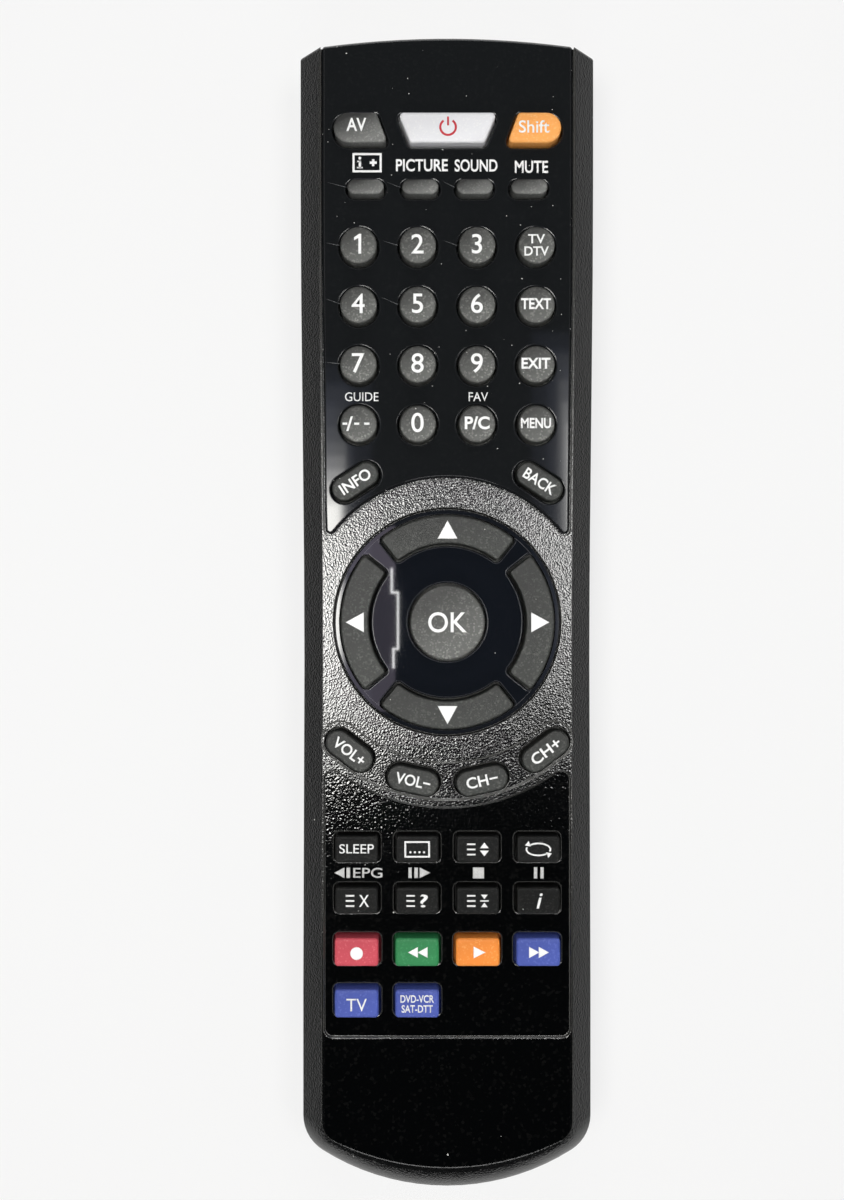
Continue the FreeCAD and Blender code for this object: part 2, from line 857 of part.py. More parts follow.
def rear_case():
    """The lower half of the case with the battery bay and the board's supports."""
    body = rear_outside()
    hollow = belly_loft(wall, floor_thickness, inner_round_width, inner_head_round_width)
    upper_hollow = prism(outline(0, side=wall, head=wall, tail=wall),
                         belly_round_height, parting_height + 1)
    rebate = prism(outline(0, side=wall / 2, head=wall / 2, tail=wall / 2),
                   parting_height - lip_height - lip_gap, parting_height + 1)
    shell = body.cut(hollow.fuse(upper_hollow).fuse(rebate))
    shell = shell.cut(catches(catch_gap) + [seam()])

    seat_half = cover_half_width + cover_gap + rail_reach + cover_gap + rail_wall
    cover_head = bay_head + cover_head_reach
    seat = box(-seat_half, seat_half, tail_y - 1, cover_head + rail_wall,
               0, cover_thickness + cover_gap + rail_roof)
    bay_outer = bay_half_width + bay_wall
    bay = box(-bay_outer, bay_outer, bay_tail - bay_wall, bay_head + bay_wall,
              cover_thickness + cover_gap, roof_top)
    pads = [box(-bay_outer, bay_outer, y - bay_wall / 2, y + bay_wall / 2, roof_bottom,
                board_bottom)
            for y in (bay_tail + bay_wall, (bay_tail + bay_head) / 2, bay_head - bay_wall)]
    shell = fused([shell, seat.common(rear_outside()), bay] + pads + board_posts())

    bay_space = box(-bay_half_width, bay_half_width, bay_tail, bay_head, -1, roof_bottom)
    cover_top = cover_thickness + cover_gap
    cover_half = cover_half_width + cover_gap
    cover_space = box(-cover_half, cover_half, tail_y - 1, cover_head + cover_gap,
                      -1, cover_top)
    groove_half = cover_half + rail_reach
    groove = box(-groove_half, groove_half, tail_y - 1, cover_head + cover_gap,
                 rail_ledge, cover_top)
    slots = [box(x - tab_gap, x + tab_width + tab_gap, bay_head - plate_thickness - 2 * tab_gap,
                 bay_head + tab_gap, roof_bottom - 1, roof_top + 1) for x in contact_tab_places()]
    shell = shell.cut([bay_space, cover_space, groove] + slots)
    return max(shell.Solids, key=lambda solid: solid.Volume)


def belly_loft(inset, bottom, round_width, head_round_width):
    """A rounded belly: an elliptic curve from the upright wall into a flat underside."""
    levels = []
    for step in range(belly_steps + 1):
        angle = math.radians(90.0 * (1 - step / belly_steps))
        share = 1 - math.cos(angle)
        levels.append(outline(
            bottom + (belly_round_height - bottom) * (1 - math.sin(angle)),
            side=inset + round_width * share,
            head=inset + head_round_width * share,
            tail=inset + round_width * share,
            tail_radius=tail_arc_radius - inset - round_width * share))
    return Part.makeLoft(levels, True, False)


def rear_outside():
    """The outer form of the rear case."""
    rounded = belly_loft(0.0, 0.0, belly_round_width, belly_head_round_width)
    upright = prism(outline(0), belly_round_height, parting_height)
    return rounded.fuse(upright).removeSplitter()


def board_posts():
    """Ribs and posts that stand on the belly and carry the circuit board."""
    posts = []
    y = board_head - post_inset
    while y > bay_head + post_pitch / 2:
        for side in (-1, 1):
            posts.append(cylinder(post_radius, side * (board_half_width - post_inset), y,
                                  floor_thickness / 2, board_bottom))
        y -= post_pitch
    return posts


def battery_cover():
    """The sliding cover of the battery bay, with side rails and finger ridges."""
    cover_head = bay_head + cover_head_reach
    plate = box(-cover_half_width, cover_half_width, tail_y - 1, cover_head,
                -1, cover_thickness)
    rail_half = cover_half_width + rail_reach
    rails = box(-rail_half, rail_half, tail_y - 1, cover_head, rail_ledge + cover_gap,
                cover_thickness)
    cover = plate.fuse(rails).common(rear_outside()).removeSplitter()
    ridges = []
    for index in range(ridge_count):
        y = tail_y + ridge_to_tail + index * ridge_pitch
        ridges.append(box(-ridge_length / 2, ridge_length / 2, y, y + ridge_width,
                          -1, ridge_depth))
    return cover.cut(ridges).Solids[0]


def upper_face_panel():
    panel = panel_shape(0.0, 0.0, panel_bottom, panel_bottom + panel_thickness)
    top = panel_bottom + panel_thickness
    panel = panel.makeChamfer(panel_edge_bevel, edges_at_height(panel, top))
    holes = [key.block(key_gap, panel_bottom - 1, key_top) for key in panel_keys]
    panel = panel.cut(holes).Solids[0]
    return panel.makeChamfer(rim_bevel, inner_rims(panel, top))


def nav_bezel():
    """The glossy disc round the direction keys, inside a rounded bead."""
    outer = nav_recess_radius - bezel_gap
    rim_inner = outer - bezel_rim_width
    top = nav_floor + bezel_height
    windows = [key.block(key_gap, nav_floor - 1, key_top) for key in bezel_keys]
    disc = cylinder((rim_inner + outer) / 2, 0, nav_y, nav_floor, top).cut(windows).Solids[0]
    disc = disc.makeChamfer(rim_bevel, inner_rims(disc, top))
    bead = Part.Arc(
        Vector(rim_inner, 0, top),
        Vector((rim_inner + outer) / 2, 0, top + bezel_rim_rise),
        Vector(outer, 0, top - bezel_rim_rise)).toShape()
    profile = Part.Wire([
        line(Vector(rim_inner, 0, nav_floor), Vector(rim_inner, 0, top)),
        bead,
        line(Vector(outer, 0, top - bezel_rim_rise), Vector(outer, 0, nav_floor)),
        line(Vector(outer, 0, nav_floor), Vector(rim_inner, 0, nav_floor)),
    ])
    ring = Part.Face(profile).revolve(Vector(0, 0, 0), UP, 360)
    ring.translate(Vector(0, nav_y, 0))
    if ring.Volume < 0:
        ring.reverse()
    return fused([disc, ring.cut(windows)]).Solids[0]


def keypad_mat():
    half = board_half_width - mat_side_margin
    head = board_head - mat_head_margin
    sheet = prism(bar_wire(2 * half, head - mat_tail, board_corner, 0), board_top, mat_top)
    sheet.translate(Vector(0, (head + mat_tail) / 2, 0))
    holes = []
    for key in all_keys:
        x, y = key.plunger_place()
        holes.append(cylinder(plunger_radius + plunger_gap, x, y, board_bottom, flange_top))
    return sheet.cut(holes).Solids[0]


def circuit_board():
    board = prism(bar_wire(2 * board_half_width, board_head - board_tail, board_corner, 0),
                  board_bottom, board_top)
    board.translate(Vector(0, (board_head + board_tail) / 2, 0))
    return board


def board_components():
    """Sealed chip, capacitor, resonator and small parts under the board."""
    chip_y = (board_head + bay_head) / 2
    radius = (chip_dome_radius ** 2 + chip_dome_height ** 2) / (2 * chip_dome_height)
    ball = Part.makeSphere(radius, Vector(0, chip_y, board_bottom + radius - chip_dome_height))
    chip = ball.common(box(-radius, radius, chip_y - radius, chip_y + radius,
                           board_bottom - chip_dome_height, board_bottom))
    can_y = chip_y - 3 * small_part_pitch
    can = Part.makeCylinder(capacitor_radius, capacitor_length,
                            Vector(-capacitor_length / 2, can_y, board_bottom - capacitor_radius),
                            Vector(1, 0, 0))
    resonator_y = chip_y + 2 * small_part_pitch
    resonator = box(-resonator_length / 2, resonator_length / 2,
                    resonator_y, resonator_y + resonator_width,
                    board_bottom - resonator_height, board_bottom)
    parts = [chip, can, resonator]
    for index in range(small_part_count):
        x = (index - (small_part_count - 1) / 2) * small_part_pitch
        y = resonator_y + 1.5 * small_part_pitch
        parts.append(box(x, x + small_part_width, y, y + small_part_length,
                         board_bottom - small_part_height, board_bottom))
    return Part.makeCompound(parts)


def ir_window():
    """A dark window with a flange that lies behind the head wall."""
    bottom = parting_height + window_bottom_margin
    front = wall + window_gap / 3
    flange = window_area(window_half_width + window_flange, bottom - window_flange,
                         bottom + window_height + window_flange,
                         front + window_flange_thickness, front)
    return fused([window_face(0.0), flange]).Solids[0]


def ir_led():
    """The infrared diode behind the window, its two leads lying on the board."""
    axis_z = board_bottom + led_height_above_board
    tip = head_y - wall - window_flange_thickness - led_window_gap
    back = tip - led_radius - led_body_length
    forward = Vector(0, 1, 0)
    body = Part.makeCylinder(led_radius, led_body_length, Vector(0, back, axis_z), forward)
    dome = Part.makeSphere(led_radius, Vector(0, back + led_body_length, axis_z))
    base = Part.makeCylinder(led_rim_radius, led_rim_length, Vector(0, back, axis_z), forward)
    lens = fused([body, dome, base])
    leads = []
    lead_start = board_head - led_lead_reach
    for side in (-1, 1):
        leads.append(Part.makeCylinder(
            led_lead_radius, back - lead_start,
            Vector(side * led_lead_spacing / 2, lead_start, board_top + led_lead_radius),
            forward))
    return Part.makeCompound([lens] + leads)


def aaa_cells():
    """Two cells side by side, the left one with its nub to the head end."""
    cells = []
    for side in (-1, 1):
        start = bay_tail + plate_thickness + plate_gap
        if side < 0:
            start += spring_space
        centre = Vector(side * cell_spacing / 2, start, cell_centre)
        can_length = cell_length - cell_nub_height
        can_start = centre if side < 0 else centre + Vector(0, cell_nub_height, 0)
        can = Part.makeCylinder(cell_diameter / 2, can_length, can_start, Vector(0, 1, 0))
        ends = [edge for edge in can.Edges if edge.Curve.TypeId == "Part::GeomCircle"]
        can = can.makeFillet(cell_edge_round, ends)
        nub_start = centre + Vector(0, can_length - cell_nub_height, 0) if side < 0 else centre
        nub = Part.makeCylinder(cell_nub_diameter / 2, 2 * cell_nub_height, nub_start,
                                Vector(0, 1, 0))
        cells.append(fused([can, nub]).Solids[0])
    return Part.makeCompound(cells)


def biarc(start, start_way, end, end_way):
    """Two arcs that join a start and an end, along the given ways at both."""
    gap = end - start
    turn = 1 - start_way.dot(end_way)
    along = gap.dot(start_way + end_way)
    if turn < 1e-9:
        reach = gap.dot(gap) / (4 * gap.dot(end_way))
    else:
        root = math.sqrt(along ** 2 + 2 * turn * gap.dot(gap))
        reach = (root - along) / (2 * turn)
    first = start + start_way * reach
    second = end - end_way * reach
    joint = (first + second) * 0.5
    return [corner_arc(start, first, joint), corner_arc(joint, second, end)]


def corner_arc(start, corner, end):
    """The arc that leaves start towards a corner and comes to end from it."""
    middle = (start + end) * 0.5
    height = corner.distanceToPoint(middle)
    half_chord = start.distanceToPoint(middle)
    rise = half_chord * math.tan(math.atan2(height, half_chord) / 2)
    bulge = corner - middle
    bulge.normalize()
    return Part.Arc(start, middle + bulge * rise, end).toShape()


def spring_coil(x, base_y, way, share):
    """Point and heading at a share of a tapering coil about the cell's axis."""
    lead_in = 2 * spring_wire
    coil_length = spring_space - 2 * lead_in
    taper = spring_tip_radius - spring_base_radius
    whole_turn = 2 * math.pi * spring_turns
    angle = whole_turn * share
    radius = spring_base_radius + taper * share
    point = Vector(x + radius * math.cos(angle),
                   base_y + way * (lead_in + coil_length * share),
                   cell_centre + radius * math.sin(angle))
    heading = Vector(taper * math.cos(angle) - whole_turn * radius * math.sin(angle),
                     way * coil_length,
                     taper * math.sin(angle) + whole_turn * radius * math.cos(angle))
    heading.normalize()
    return point, heading


def contact_spring(x, base_y, way):
    """One unbroken wire: a straight foot, tapering turns and a straight tip."""
    straight = Vector(0, way, 0)
    first, first_way = spring_coil(x, base_y, way, 0.0)
    last, last_way = spring_coil(x, base_y, way, 1.0)
    foot_top = first - first_way * spring_foot_reach
    foot_top.y = base_y + way * spring_wire
    tip_bottom = last + last_way * spring_foot_reach
    tip_bottom.y = base_y + way * (spring_space - spring_wire)
    foot = Vector(foot_top.x, base_y, foot_top.z)
    tip = Vector(tip_bottom.x, base_y + way * spring_space, tip_bottom.z)
    edges = [line(foot, foot_top)]
    edges += biarc(foot_top, straight, first, first_way)
    quarters = 4 * spring_turns
    for quarter in range(quarters):
        here, here_way = spring_coil(x, base_y, way, quarter / quarters)
        there, there_way = spring_coil(x, base_y, way, (quarter + 1) / quarters)
        edges += biarc(here, here_way, there, there_way)
    edges += biarc(last, last_way, tip_bottom, straight)
    edges.append(line(tip_bottom, tip))
    path = Part.Wire(edges)
    section = Part.Wire(Part.Circle(foot, straight, spring_wire / 2).toShape())
    shell = Part.BRepOffsetAPI.MakePipeShell(path)
    shell.add(section)
    shell.build()
    shell.makeSolid()
    spring = shell.shape()
    report_spring(spring, path)
    return spring


def report_spring(spring, path):
    """Prints the least gap between turns, and the volume against the wire's length."""
    points = path.discretize(Distance=spring_wire / 3)
    step = path.Length / (len(points) - 1)
    skip = int(math.pi * spring_tip_radius / step)
    least = min(points[i].distanceToPoint(points[j])
                for i in range(len(points)) for j in range(i + skip, len(points)))
    radii = [edge.Curve.Radius for edge in path.Edges if hasattr(edge.Curve, "Radius")]
    section = math.pi * spring_wire ** 2 / 4
    print("spring: least gap between turns", round(least - spring_wire, 3),
          "tightest bend", round(min(radii), 2),
          "volume over section times length", round(spring.Volume / (section * path.Length), 4))


def contact_tab_places():
    """Left edges of the tabs that run from the head plates up to the board."""
    return [side * cell_spacing / 2 - tab_width / 2 for side in (-1, 1)]


def battery_contacts():
    """Plates and springs at both ends of the battery bay."""
    bottom = cover_thickness + cover_gap + plate_bottom_gap
    top = roof_bottom - plate_gap
    tail_face = bay_tail + plate_gap + plate_thickness
    head_face = bay_head - plate_gap - plate_thickness
    half_bridge = (cell_spacing + plate_width) / 2
    pieces = [box(-half_bridge, half_bridge, bay_tail, tail_face, bottom, top)]
    for tab_x in contact_tab_places():
        middle = tab_x + tab_width / 2
        plate = box(middle - plate_width / 2, middle + plate_width / 2, head_face, bay_head,
                    bottom, top)
        tab = box(tab_x, tab_x + tab_width, head_face, bay_head, top, board_bottom)
        pieces.append(fused([plate, tab]).Solids[0])
    pieces.append(contact_spring(-cell_spacing / 2, tail_face, 1))
    pieces.append(contact_spring(cell_spacing / 2, head_face, -1))
    return Part.makeCompound(pieces)


def save(name, shape):
    valid = "valid" if shape.isValid() else "INVALID"
    size = shape.BoundBox
    print(name, valid, "solids", len(shape.Solids), "volume", round(shape.Volume, 1),
          "z", round(size.ZMin, 2), round(size.ZMax, 2))
    shape.exportStep("parts/" + name + ".step")


def main():
    save("front_case", front_case())
    save("rear_case", rear_case())
    save("battery_cover", battery_cover())
    save("upper_face_panel", upper_face_panel())
    save("nav_bezel", nav_bezel())
    save("keypad_mat", keypad_mat())
    save("circuit_board", circuit_board())
    save("board_components", board_components())
    save("ir_window", ir_window())
    save("ir_led", ir_led())
    save("aaa_cells", aaa_cells())
    save("battery_contacts", battery_contacts())
    for key in all_keys:
        save(key.name, key_piece(key))


main()
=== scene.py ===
# %% [markdown]
# # A television remote control, dressed for its portrait
#
# The solid model already holds every rubber key, the case halves, the glossy
# panel and what lies inside, each where the real one has it. This lesson only
# gives those pieces their finishes and their printing, and then lights them.
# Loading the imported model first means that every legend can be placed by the
# box of its own key, and not by numbers that go stale when a key moves.

# %% Load the model
import bpy
import bmesh
import json
import math
from mathutils import Matrix, Vector

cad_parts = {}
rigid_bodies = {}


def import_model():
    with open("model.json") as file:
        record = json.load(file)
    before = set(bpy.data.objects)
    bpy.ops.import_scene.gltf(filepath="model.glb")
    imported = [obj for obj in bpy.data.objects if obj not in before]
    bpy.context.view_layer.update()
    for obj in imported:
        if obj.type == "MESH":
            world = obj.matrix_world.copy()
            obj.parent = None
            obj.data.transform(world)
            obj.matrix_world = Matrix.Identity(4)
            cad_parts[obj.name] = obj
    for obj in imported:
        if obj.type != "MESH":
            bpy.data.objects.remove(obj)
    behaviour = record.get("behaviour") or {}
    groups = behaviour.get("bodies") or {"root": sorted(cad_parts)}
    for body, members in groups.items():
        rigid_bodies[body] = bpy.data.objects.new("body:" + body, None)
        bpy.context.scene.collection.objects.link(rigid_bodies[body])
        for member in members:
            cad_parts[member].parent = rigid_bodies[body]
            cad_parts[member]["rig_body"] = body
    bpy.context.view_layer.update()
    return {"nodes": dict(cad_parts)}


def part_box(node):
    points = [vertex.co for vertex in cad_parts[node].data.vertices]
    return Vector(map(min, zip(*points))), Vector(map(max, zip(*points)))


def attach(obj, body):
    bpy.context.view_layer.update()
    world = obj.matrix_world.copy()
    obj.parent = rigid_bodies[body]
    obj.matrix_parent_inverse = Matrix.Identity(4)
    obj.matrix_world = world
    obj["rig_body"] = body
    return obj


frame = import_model()
MM = 0.001


# %% Measure the model where the finishes and the printing need it
def box_mm(node):
    """Lowest and highest corner of a CAD node in millimetres."""
    low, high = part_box(node)
    return low / MM, high / MM


def middle_mm(node):
    """The middle of a node, seen from above, in millimetres."""
    low, high = box_mm(node)
    return (low.x + high.x) / 2, (low.y + high.y) / 2


def body_of(node):
    """The name of the moving body that a node belongs to."""
    return frame["nodes"][node]["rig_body"]


key_top = box_mm("key_1")[1].z
plateau = box_mm("front_case")[1].z
panel_top = box_mm("upper_face_panel")[1].z
RECESS_DEPTH = 0.5
lower_floor = plateau - RECESS_DEPTH
print("heights in mm: keys", round(key_top, 2), "case", round(plateau, 2),
      "panel", round(panel_top, 2), "lower recess", round(lower_floor, 2))

# %% [markdown]
# ## Small tools for shader nodes
#
# Shader trees could be clicked together by hand. Written as code they can be
# read, compared and changed in one place, so a few short helpers come first:
# they add a node, calculate, mix two colours, split a place into its three
# numbers, and open or use a named group of nodes.


# %% Helpers for node trees
def add(tree, kind, inputs=None, **settings):
    """One new node: settings are its properties, inputs are values by socket name."""
    node = tree.nodes.new(kind)
    for name, value in settings.items():
        setattr(node, name, value)
    for name, value in (inputs or {}).items():
        node.inputs[name].default_value = value
    return node


def calculate(tree, operation, first, second=0.0, clamp=False):
    """A Math node; first and second are sockets or plain numbers."""
    node = add(tree, "ShaderNodeMath", operation=operation, use_clamp=clamp)
    for socket, value in zip(node.inputs, (first, second)):
        if isinstance(value, (int, float)):
            socket.default_value = value
        else:
            tree.links.new(value, socket)
    return node.outputs[0]


def mixed(tree, share, first, second):
    """A colour between two colours; each may be a socket or a plain colour."""
    node = add(tree, "ShaderNodeMix", data_type="RGBA")
    sockets = {"share": node.inputs[0], "first": node.inputs[6], "second": node.inputs[7]}
    for name, value in (("share", share), ("first", first), ("second", second)):
        if isinstance(value, bpy.types.NodeSocket):
            tree.links.new(value, sockets[name])
        elif name == "share":
            sockets[name].default_value = value
        else:
            sockets[name].default_value = (*value, 1.0)
    return node.outputs[2]


def axes(tree, space="Object"):
    """The X, Y and Z sockets of a point's place; the space Normal gives its direction."""
    place = add(tree, "ShaderNodeTexCoord")
    split = add(tree, "ShaderNodeSeparateXYZ")
    tree.links.new(place.outputs[space], split.inputs[0])
    return split.outputs


def new_group(name, inputs, outputs, vectors=()):
    """An empty node group with named number and vector sockets, and its two end nodes."""
    group = bpy.data.node_groups.new(name, "ShaderNodeTree")
    for label, value in inputs:
        socket = group.interface.new_socket(
            name=label, in_out="INPUT", socket_type="NodeSocketFloat")
        socket.default_value = value
    for label in outputs:
        group.interface.new_socket(name=label, in_out="OUTPUT", socket_type="NodeSocketFloat")
    for label in vectors:
        group.interface.new_socket(name=label, in_out="OUTPUT", socket_type="NodeSocketVector")
    return group, group.nodes.new("NodeGroupInput"), group.nodes.new("NodeGroupOutput")


def new_material(name):
    """A new material, its node tree and its shader."""
    material = bpy.data.materials.new(name)
    material.use_nodes = True
    return material, material.node_tree, material.node_tree.nodes["Principled BSDF"]


def use(tree, group, **values):
    """Places a group in a material; its inputs are given by name."""
    node = tree.nodes.new("ShaderNodeGroup")
    node.node_tree = group
    for name, value in values.items():
        node.inputs[name.replace("_", " ")].default_value = value
    return node


# %% [markdown]
# ## Effects that several finishes share
#
# A real remote is never one flat colour. Its case has a fine spark-eroded
# grain, its rubber is slightly speckled and painted paler towards the tail and
# the right as painted shade, its edges are painted paler, partly as wear and
# partly as a painted highlight, and dust lies on everything.
# Three more effects only say where a finish changes: on steep sides, on the
# floor of the lower recess and the tail end, and on the rim of the bezel.
# Each effect could be repeated in every material that needs it. As a group it
# is built once, and each finish asks for its own amount of it.


# %% Grain: the fine texture of the mould, as a height and as pale flecks
CLOUD_SHARE = 0.6


def grain_group():
    """Soft clouds and round cells, added; some of the cells are flecks."""
    group, given, result = new_group(
        "Moulded grain", [("Grains per metre", 3400.0), ("Flecks", 0.5)], ["Height", "Fleck"])
    place = add(group, "ShaderNodeTexCoord")
    coarse = add(group, "ShaderNodeTexNoise", {"Detail": 1.0, "Roughness": 0.5})
    cells = add(group, "ShaderNodeTexVoronoi", feature="F1")
    group.links.new(place.outputs["Object"], coarse.inputs["Vector"])
    group.links.new(place.outputs["Object"], cells.inputs["Vector"])
    group.links.new(given.outputs["Grains per metre"], coarse.inputs["Scale"])
    group.links.new(given.outputs["Grains per metre"], cells.inputs["Scale"])
    clouds = calculate(group, "MULTIPLY", coarse.outputs[0], CLOUD_SHARE)
    bumps = calculate(group, "MULTIPLY", cells.outputs["Distance"], 1.0 - CLOUD_SHARE)
    group.links.new(calculate(group, "ADD", clouds, bumps), result.inputs["Height"])
    tone = add(group, "ShaderNodeSeparateColor")
    group.links.new(cells.outputs["Color"], tone.inputs[0])
    limit = calculate(group, "SUBTRACT", 1.0, given.outputs["Flecks"])
    fleck = calculate(group, "SUBTRACT", tone.outputs[0], limit)
    fleck = calculate(group, "DIVIDE", fleck, given.outputs["Flecks"], clamp=True)
    group.links.new(fleck, result.inputs["Fleck"])
    return group


grain = grain_group()
print("group", grain.name, [item.name for item in grain.interface.items_tree])


# %% Edge wear and painted highlight: paler, smoother corners, found by rounding the normal
BEND_GAIN = 5.0


def edge_group():
    """How far the rounded normal leans away from the real one, and the rounded normal."""
    group, given, result = new_group(
        "Edge wear and painted highlight", [("Reach", 0.00025), ("Amount", 1.0)], ["Edge"], ["Normal"])
    surface = add(group, "ShaderNodeNewGeometry")
    rounded = add(group, "ShaderNodeBevel", samples=6)
    group.links.new(given.outputs["Reach"], rounded.inputs["Radius"])
    group.links.new(rounded.outputs["Normal"], result.inputs["Normal"])
    turn = add(group, "ShaderNodeVectorMath", operation="DOT_PRODUCT")
    group.links.new(surface.outputs["Normal"], turn.inputs[0])
    group.links.new(rounded.outputs["Normal"], turn.inputs[1])
    bend = calculate(group, "SUBTRACT", 1.0, turn.outputs["Value"])
    bend = calculate(group, "MULTIPLY", bend, BEND_GAIN, clamp=True)
    bend = calculate(group, "MULTIPLY", bend, given.outputs["Amount"], clamp=True)
    group.links.new(bend, result.inputs["Edge"])
    return group


edge_wear_and_highlight = edge_group()


# %% Dust: sparse white specks, each in its own cell of a lattice
RAGGED_BY = 0.25 * MM


def dust_group():
    """A few cells are chosen, and a small ragged spot at the heart of each is dust."""
    group, given, result = new_group(
        "Dust", [("Cells per metre", 420.0), ("Share", 0.1), ("Speck", 0.07)], ["Dust"])
    place = add(group, "ShaderNodeTexCoord")
    bend = add(group, "ShaderNodeTexNoise", {"Scale": 2500.0, "Detail": 1.0})
    offset = add(group, "ShaderNodeVectorMath", operation="MULTIPLY_ADD")
    offset.inputs[1].default_value = (RAGGED_BY, RAGGED_BY, RAGGED_BY)
    cells = add(group, "ShaderNodeTexVoronoi", feature="F1")
    group.links.new(place.outputs["Object"], bend.inputs["Vector"])
    group.links.new(bend.outputs["Color"], offset.inputs[0])
    group.links.new(place.outputs["Object"], offset.inputs[2])
    group.links.new(offset.outputs["Vector"], cells.inputs["Vector"])
    group.links.new(given.outputs["Cells per metre"], cells.inputs["Scale"])
    tone = add(group, "ShaderNodeSeparateColor")
    group.links.new(cells.outputs["Color"], tone.inputs[0])
    chosen = calculate(group, "LESS_THAN", tone.outputs[0], given.outputs["Share"])
    size = calculate(group, "MULTIPLY", tone.outputs[1], given.outputs["Speck"])
    inside = calculate(group, "LESS_THAN", cells.outputs["Distance"], size)
    group.links.new(calculate(group, "MULTIPLY", chosen, inside), result.inputs["Dust"])
    return group


dust = dust_group()


# %% Painted key shade: rubber painted paler towards the tail and the right, in random patches
PAINTED_LIGHT_TO_TAIL = 1.6
PAINTED_LIGHT_TO_RIGHT = 0.9
SHADE_IN_PATCHES = 0.4
PAINTED_LIGHT_AT_LEAST = 0.33


def painted_key_shade_group():
    """A share between Darkest and 1 that grows across each key, by the key's own box."""
    group, given, result = new_group("Painted key shade", [("Darkest", 0.5)], ["Share"])
    across_key = axes(group, "Generated")
    place = add(group, "ShaderNodeTexCoord")
    patches = add(group, "ShaderNodeTexNoise", {"Scale": 500.0, "Detail": 2.0})
    group.links.new(place.outputs["Object"], patches.inputs["Vector"])
    # Painted shade: the share grows towards the tail and the right of each key, with random
    # patches on top.
    behind = calculate(group, "SUBTRACT", 0.5, across_key["Y"])
    beside = calculate(group, "SUBTRACT", across_key["X"], 0.5)
    painted_light_and_wear = calculate(group, "ADD", calculate(group, "MULTIPLY", behind, PAINTED_LIGHT_TO_TAIL),
                     calculate(group, "MULTIPLY", beside, PAINTED_LIGHT_TO_RIGHT))
    patchy = calculate(group, "MULTIPLY", patches.outputs[0], SHADE_IN_PATCHES)
    painted_light_and_wear = calculate(group, "ADD", painted_light_and_wear, patchy)
    painted_light_and_wear = calculate(group, "ADD", painted_light_and_wear, PAINTED_LIGHT_AT_LEAST, clamp=True)
    span = calculate(group, "SUBTRACT", 1.0, given.outputs["Darkest"])
    share = calculate(group, "ADD", calculate(group, "MULTIPLY", painted_light_and_wear, span),
                      given.outputs["Darkest"])
    group.links.new(share, result.inputs["Share"])
    return group


painted_key_shade = painted_key_shade_group()


# %% Steep sides: 1 on walls, 0 on faces that look up or down
STEEP_GAIN = 5.0


def steep_group():
    """Steep is where the upward part of the normal is less than Begin."""
    group, given, result = new_group("Steep sides", [("Begin", 0.85)], ["Side"])
    level = calculate(group, "ABSOLUTE", axes(group, "Normal")["Z"])
    side = calculate(group, "SUBTRACT", given.outputs["Begin"], level)
    side = calculate(group, "MULTIPLY", side, STEEP_GAIN, clamp=True)
    group.links.new(side, result.inputs["Side"])
    return group


steep_sides = steep_group()


# %% Smooth areas: 1 on the floor of the lower recess and on the tail end
def smooth_group():
    """Told apart by height, by how far towards the tail and by how far to the side."""
    group, given, result = new_group(
        "Smooth areas", [("Floor", (lower_floor + 0.03) * MM), ("Lowest", (plateau - 0.6) * MM),
                         ("Half width", 21.7 * MM), ("Recess from", -20.0 * MM),
                         ("Tail from", -70.0 * MM)], ["Inside"])
    place = axes(group)
    below = calculate(group, "LESS_THAN", place["Z"], given.outputs["Floor"])
    behind = calculate(group, "LESS_THAN", place["Y"], given.outputs["Recess from"])
    tail = calculate(group, "LESS_THAN", place["Y"], given.outputs["Tail from"])
    inside = calculate(group, "MAXIMUM", calculate(group, "MULTIPLY", below, behind), tail)
    on_top = calculate(group, "GREATER_THAN", place["Z"], given.outputs["Lowest"])
    between = calculate(group, "LESS_THAN", calculate(group, "ABSOLUTE", place["X"]),
                        given.outputs["Half width"])
    inside = calculate(group, "MULTIPLY", inside, calculate(group, "MULTIPLY", on_top, between))
    group.links.new(inside, result.inputs["Inside"])
    return group


smooth_areas = smooth_group()


# %% Flat rim: the rounded bead of the bezel is worn level, so it mirrors as one band
def rim_group():
    """A ring-shaped mask, and the normal that points straight up from the remote."""
    group, given, result = new_group(
        "Flat rim", [("Middle X", 0.0), ("Middle Y", 0.0), ("Inner", 0.018), ("Outer", 0.02)],
        ["Share"], ["Up"])
    place = axes(group)
    across = calculate(group, "SUBTRACT", place["X"], given.outputs["Middle X"])
    along = calculate(group, "SUBTRACT", place["Y"], given.outputs["Middle Y"])
    across = calculate(group, "MULTIPLY", across, across)
    along = calculate(group, "MULTIPLY", along, along)
    radius = calculate(group, "SQRT", calculate(group, "ADD", across, along))
    outside = calculate(group, "GREATER_THAN", radius, given.outputs["Inner"])
    inside = calculate(group, "LESS_THAN", radius, given.outputs["Outer"])
    group.links.new(calculate(group, "MULTIPLY", outside, inside), result.inputs["Share"])
    upward = add(group, "ShaderNodeVectorTransform", vector_type="NORMAL",
                 convert_from="OBJECT", convert_to="WORLD")
    upward.inputs[0].default_value = (0.0, 0.0, 1.0)
    group.links.new(upward.outputs[0], result.inputs["Up"])
    return group


flat_rim = rim_group()
print("groups", [group.name for group in bpy.data.node_groups])

# %% [markdown]
# ## One recipe for every moulded surface
#
# Case, keys, mat and board are all moulded or coated, and differ in colour,
# gloss, grain and dust. They could be built one by one, but a single recipe
# keeps them related: a base colour with flecks and pale edges, a roughness
# that follows the grain, and a bump. The shader itself stays in the material.


# %% The recipe
DUST_COLOUR = (0.62, 0.62, 0.6)
DUST_ROUGHNESS = 0.9
SIDE_GRAIN_LOSS = 0.6
FLOOR_GRAIN_LOSS = 0.22
FLOOR_POLISH = 0.05


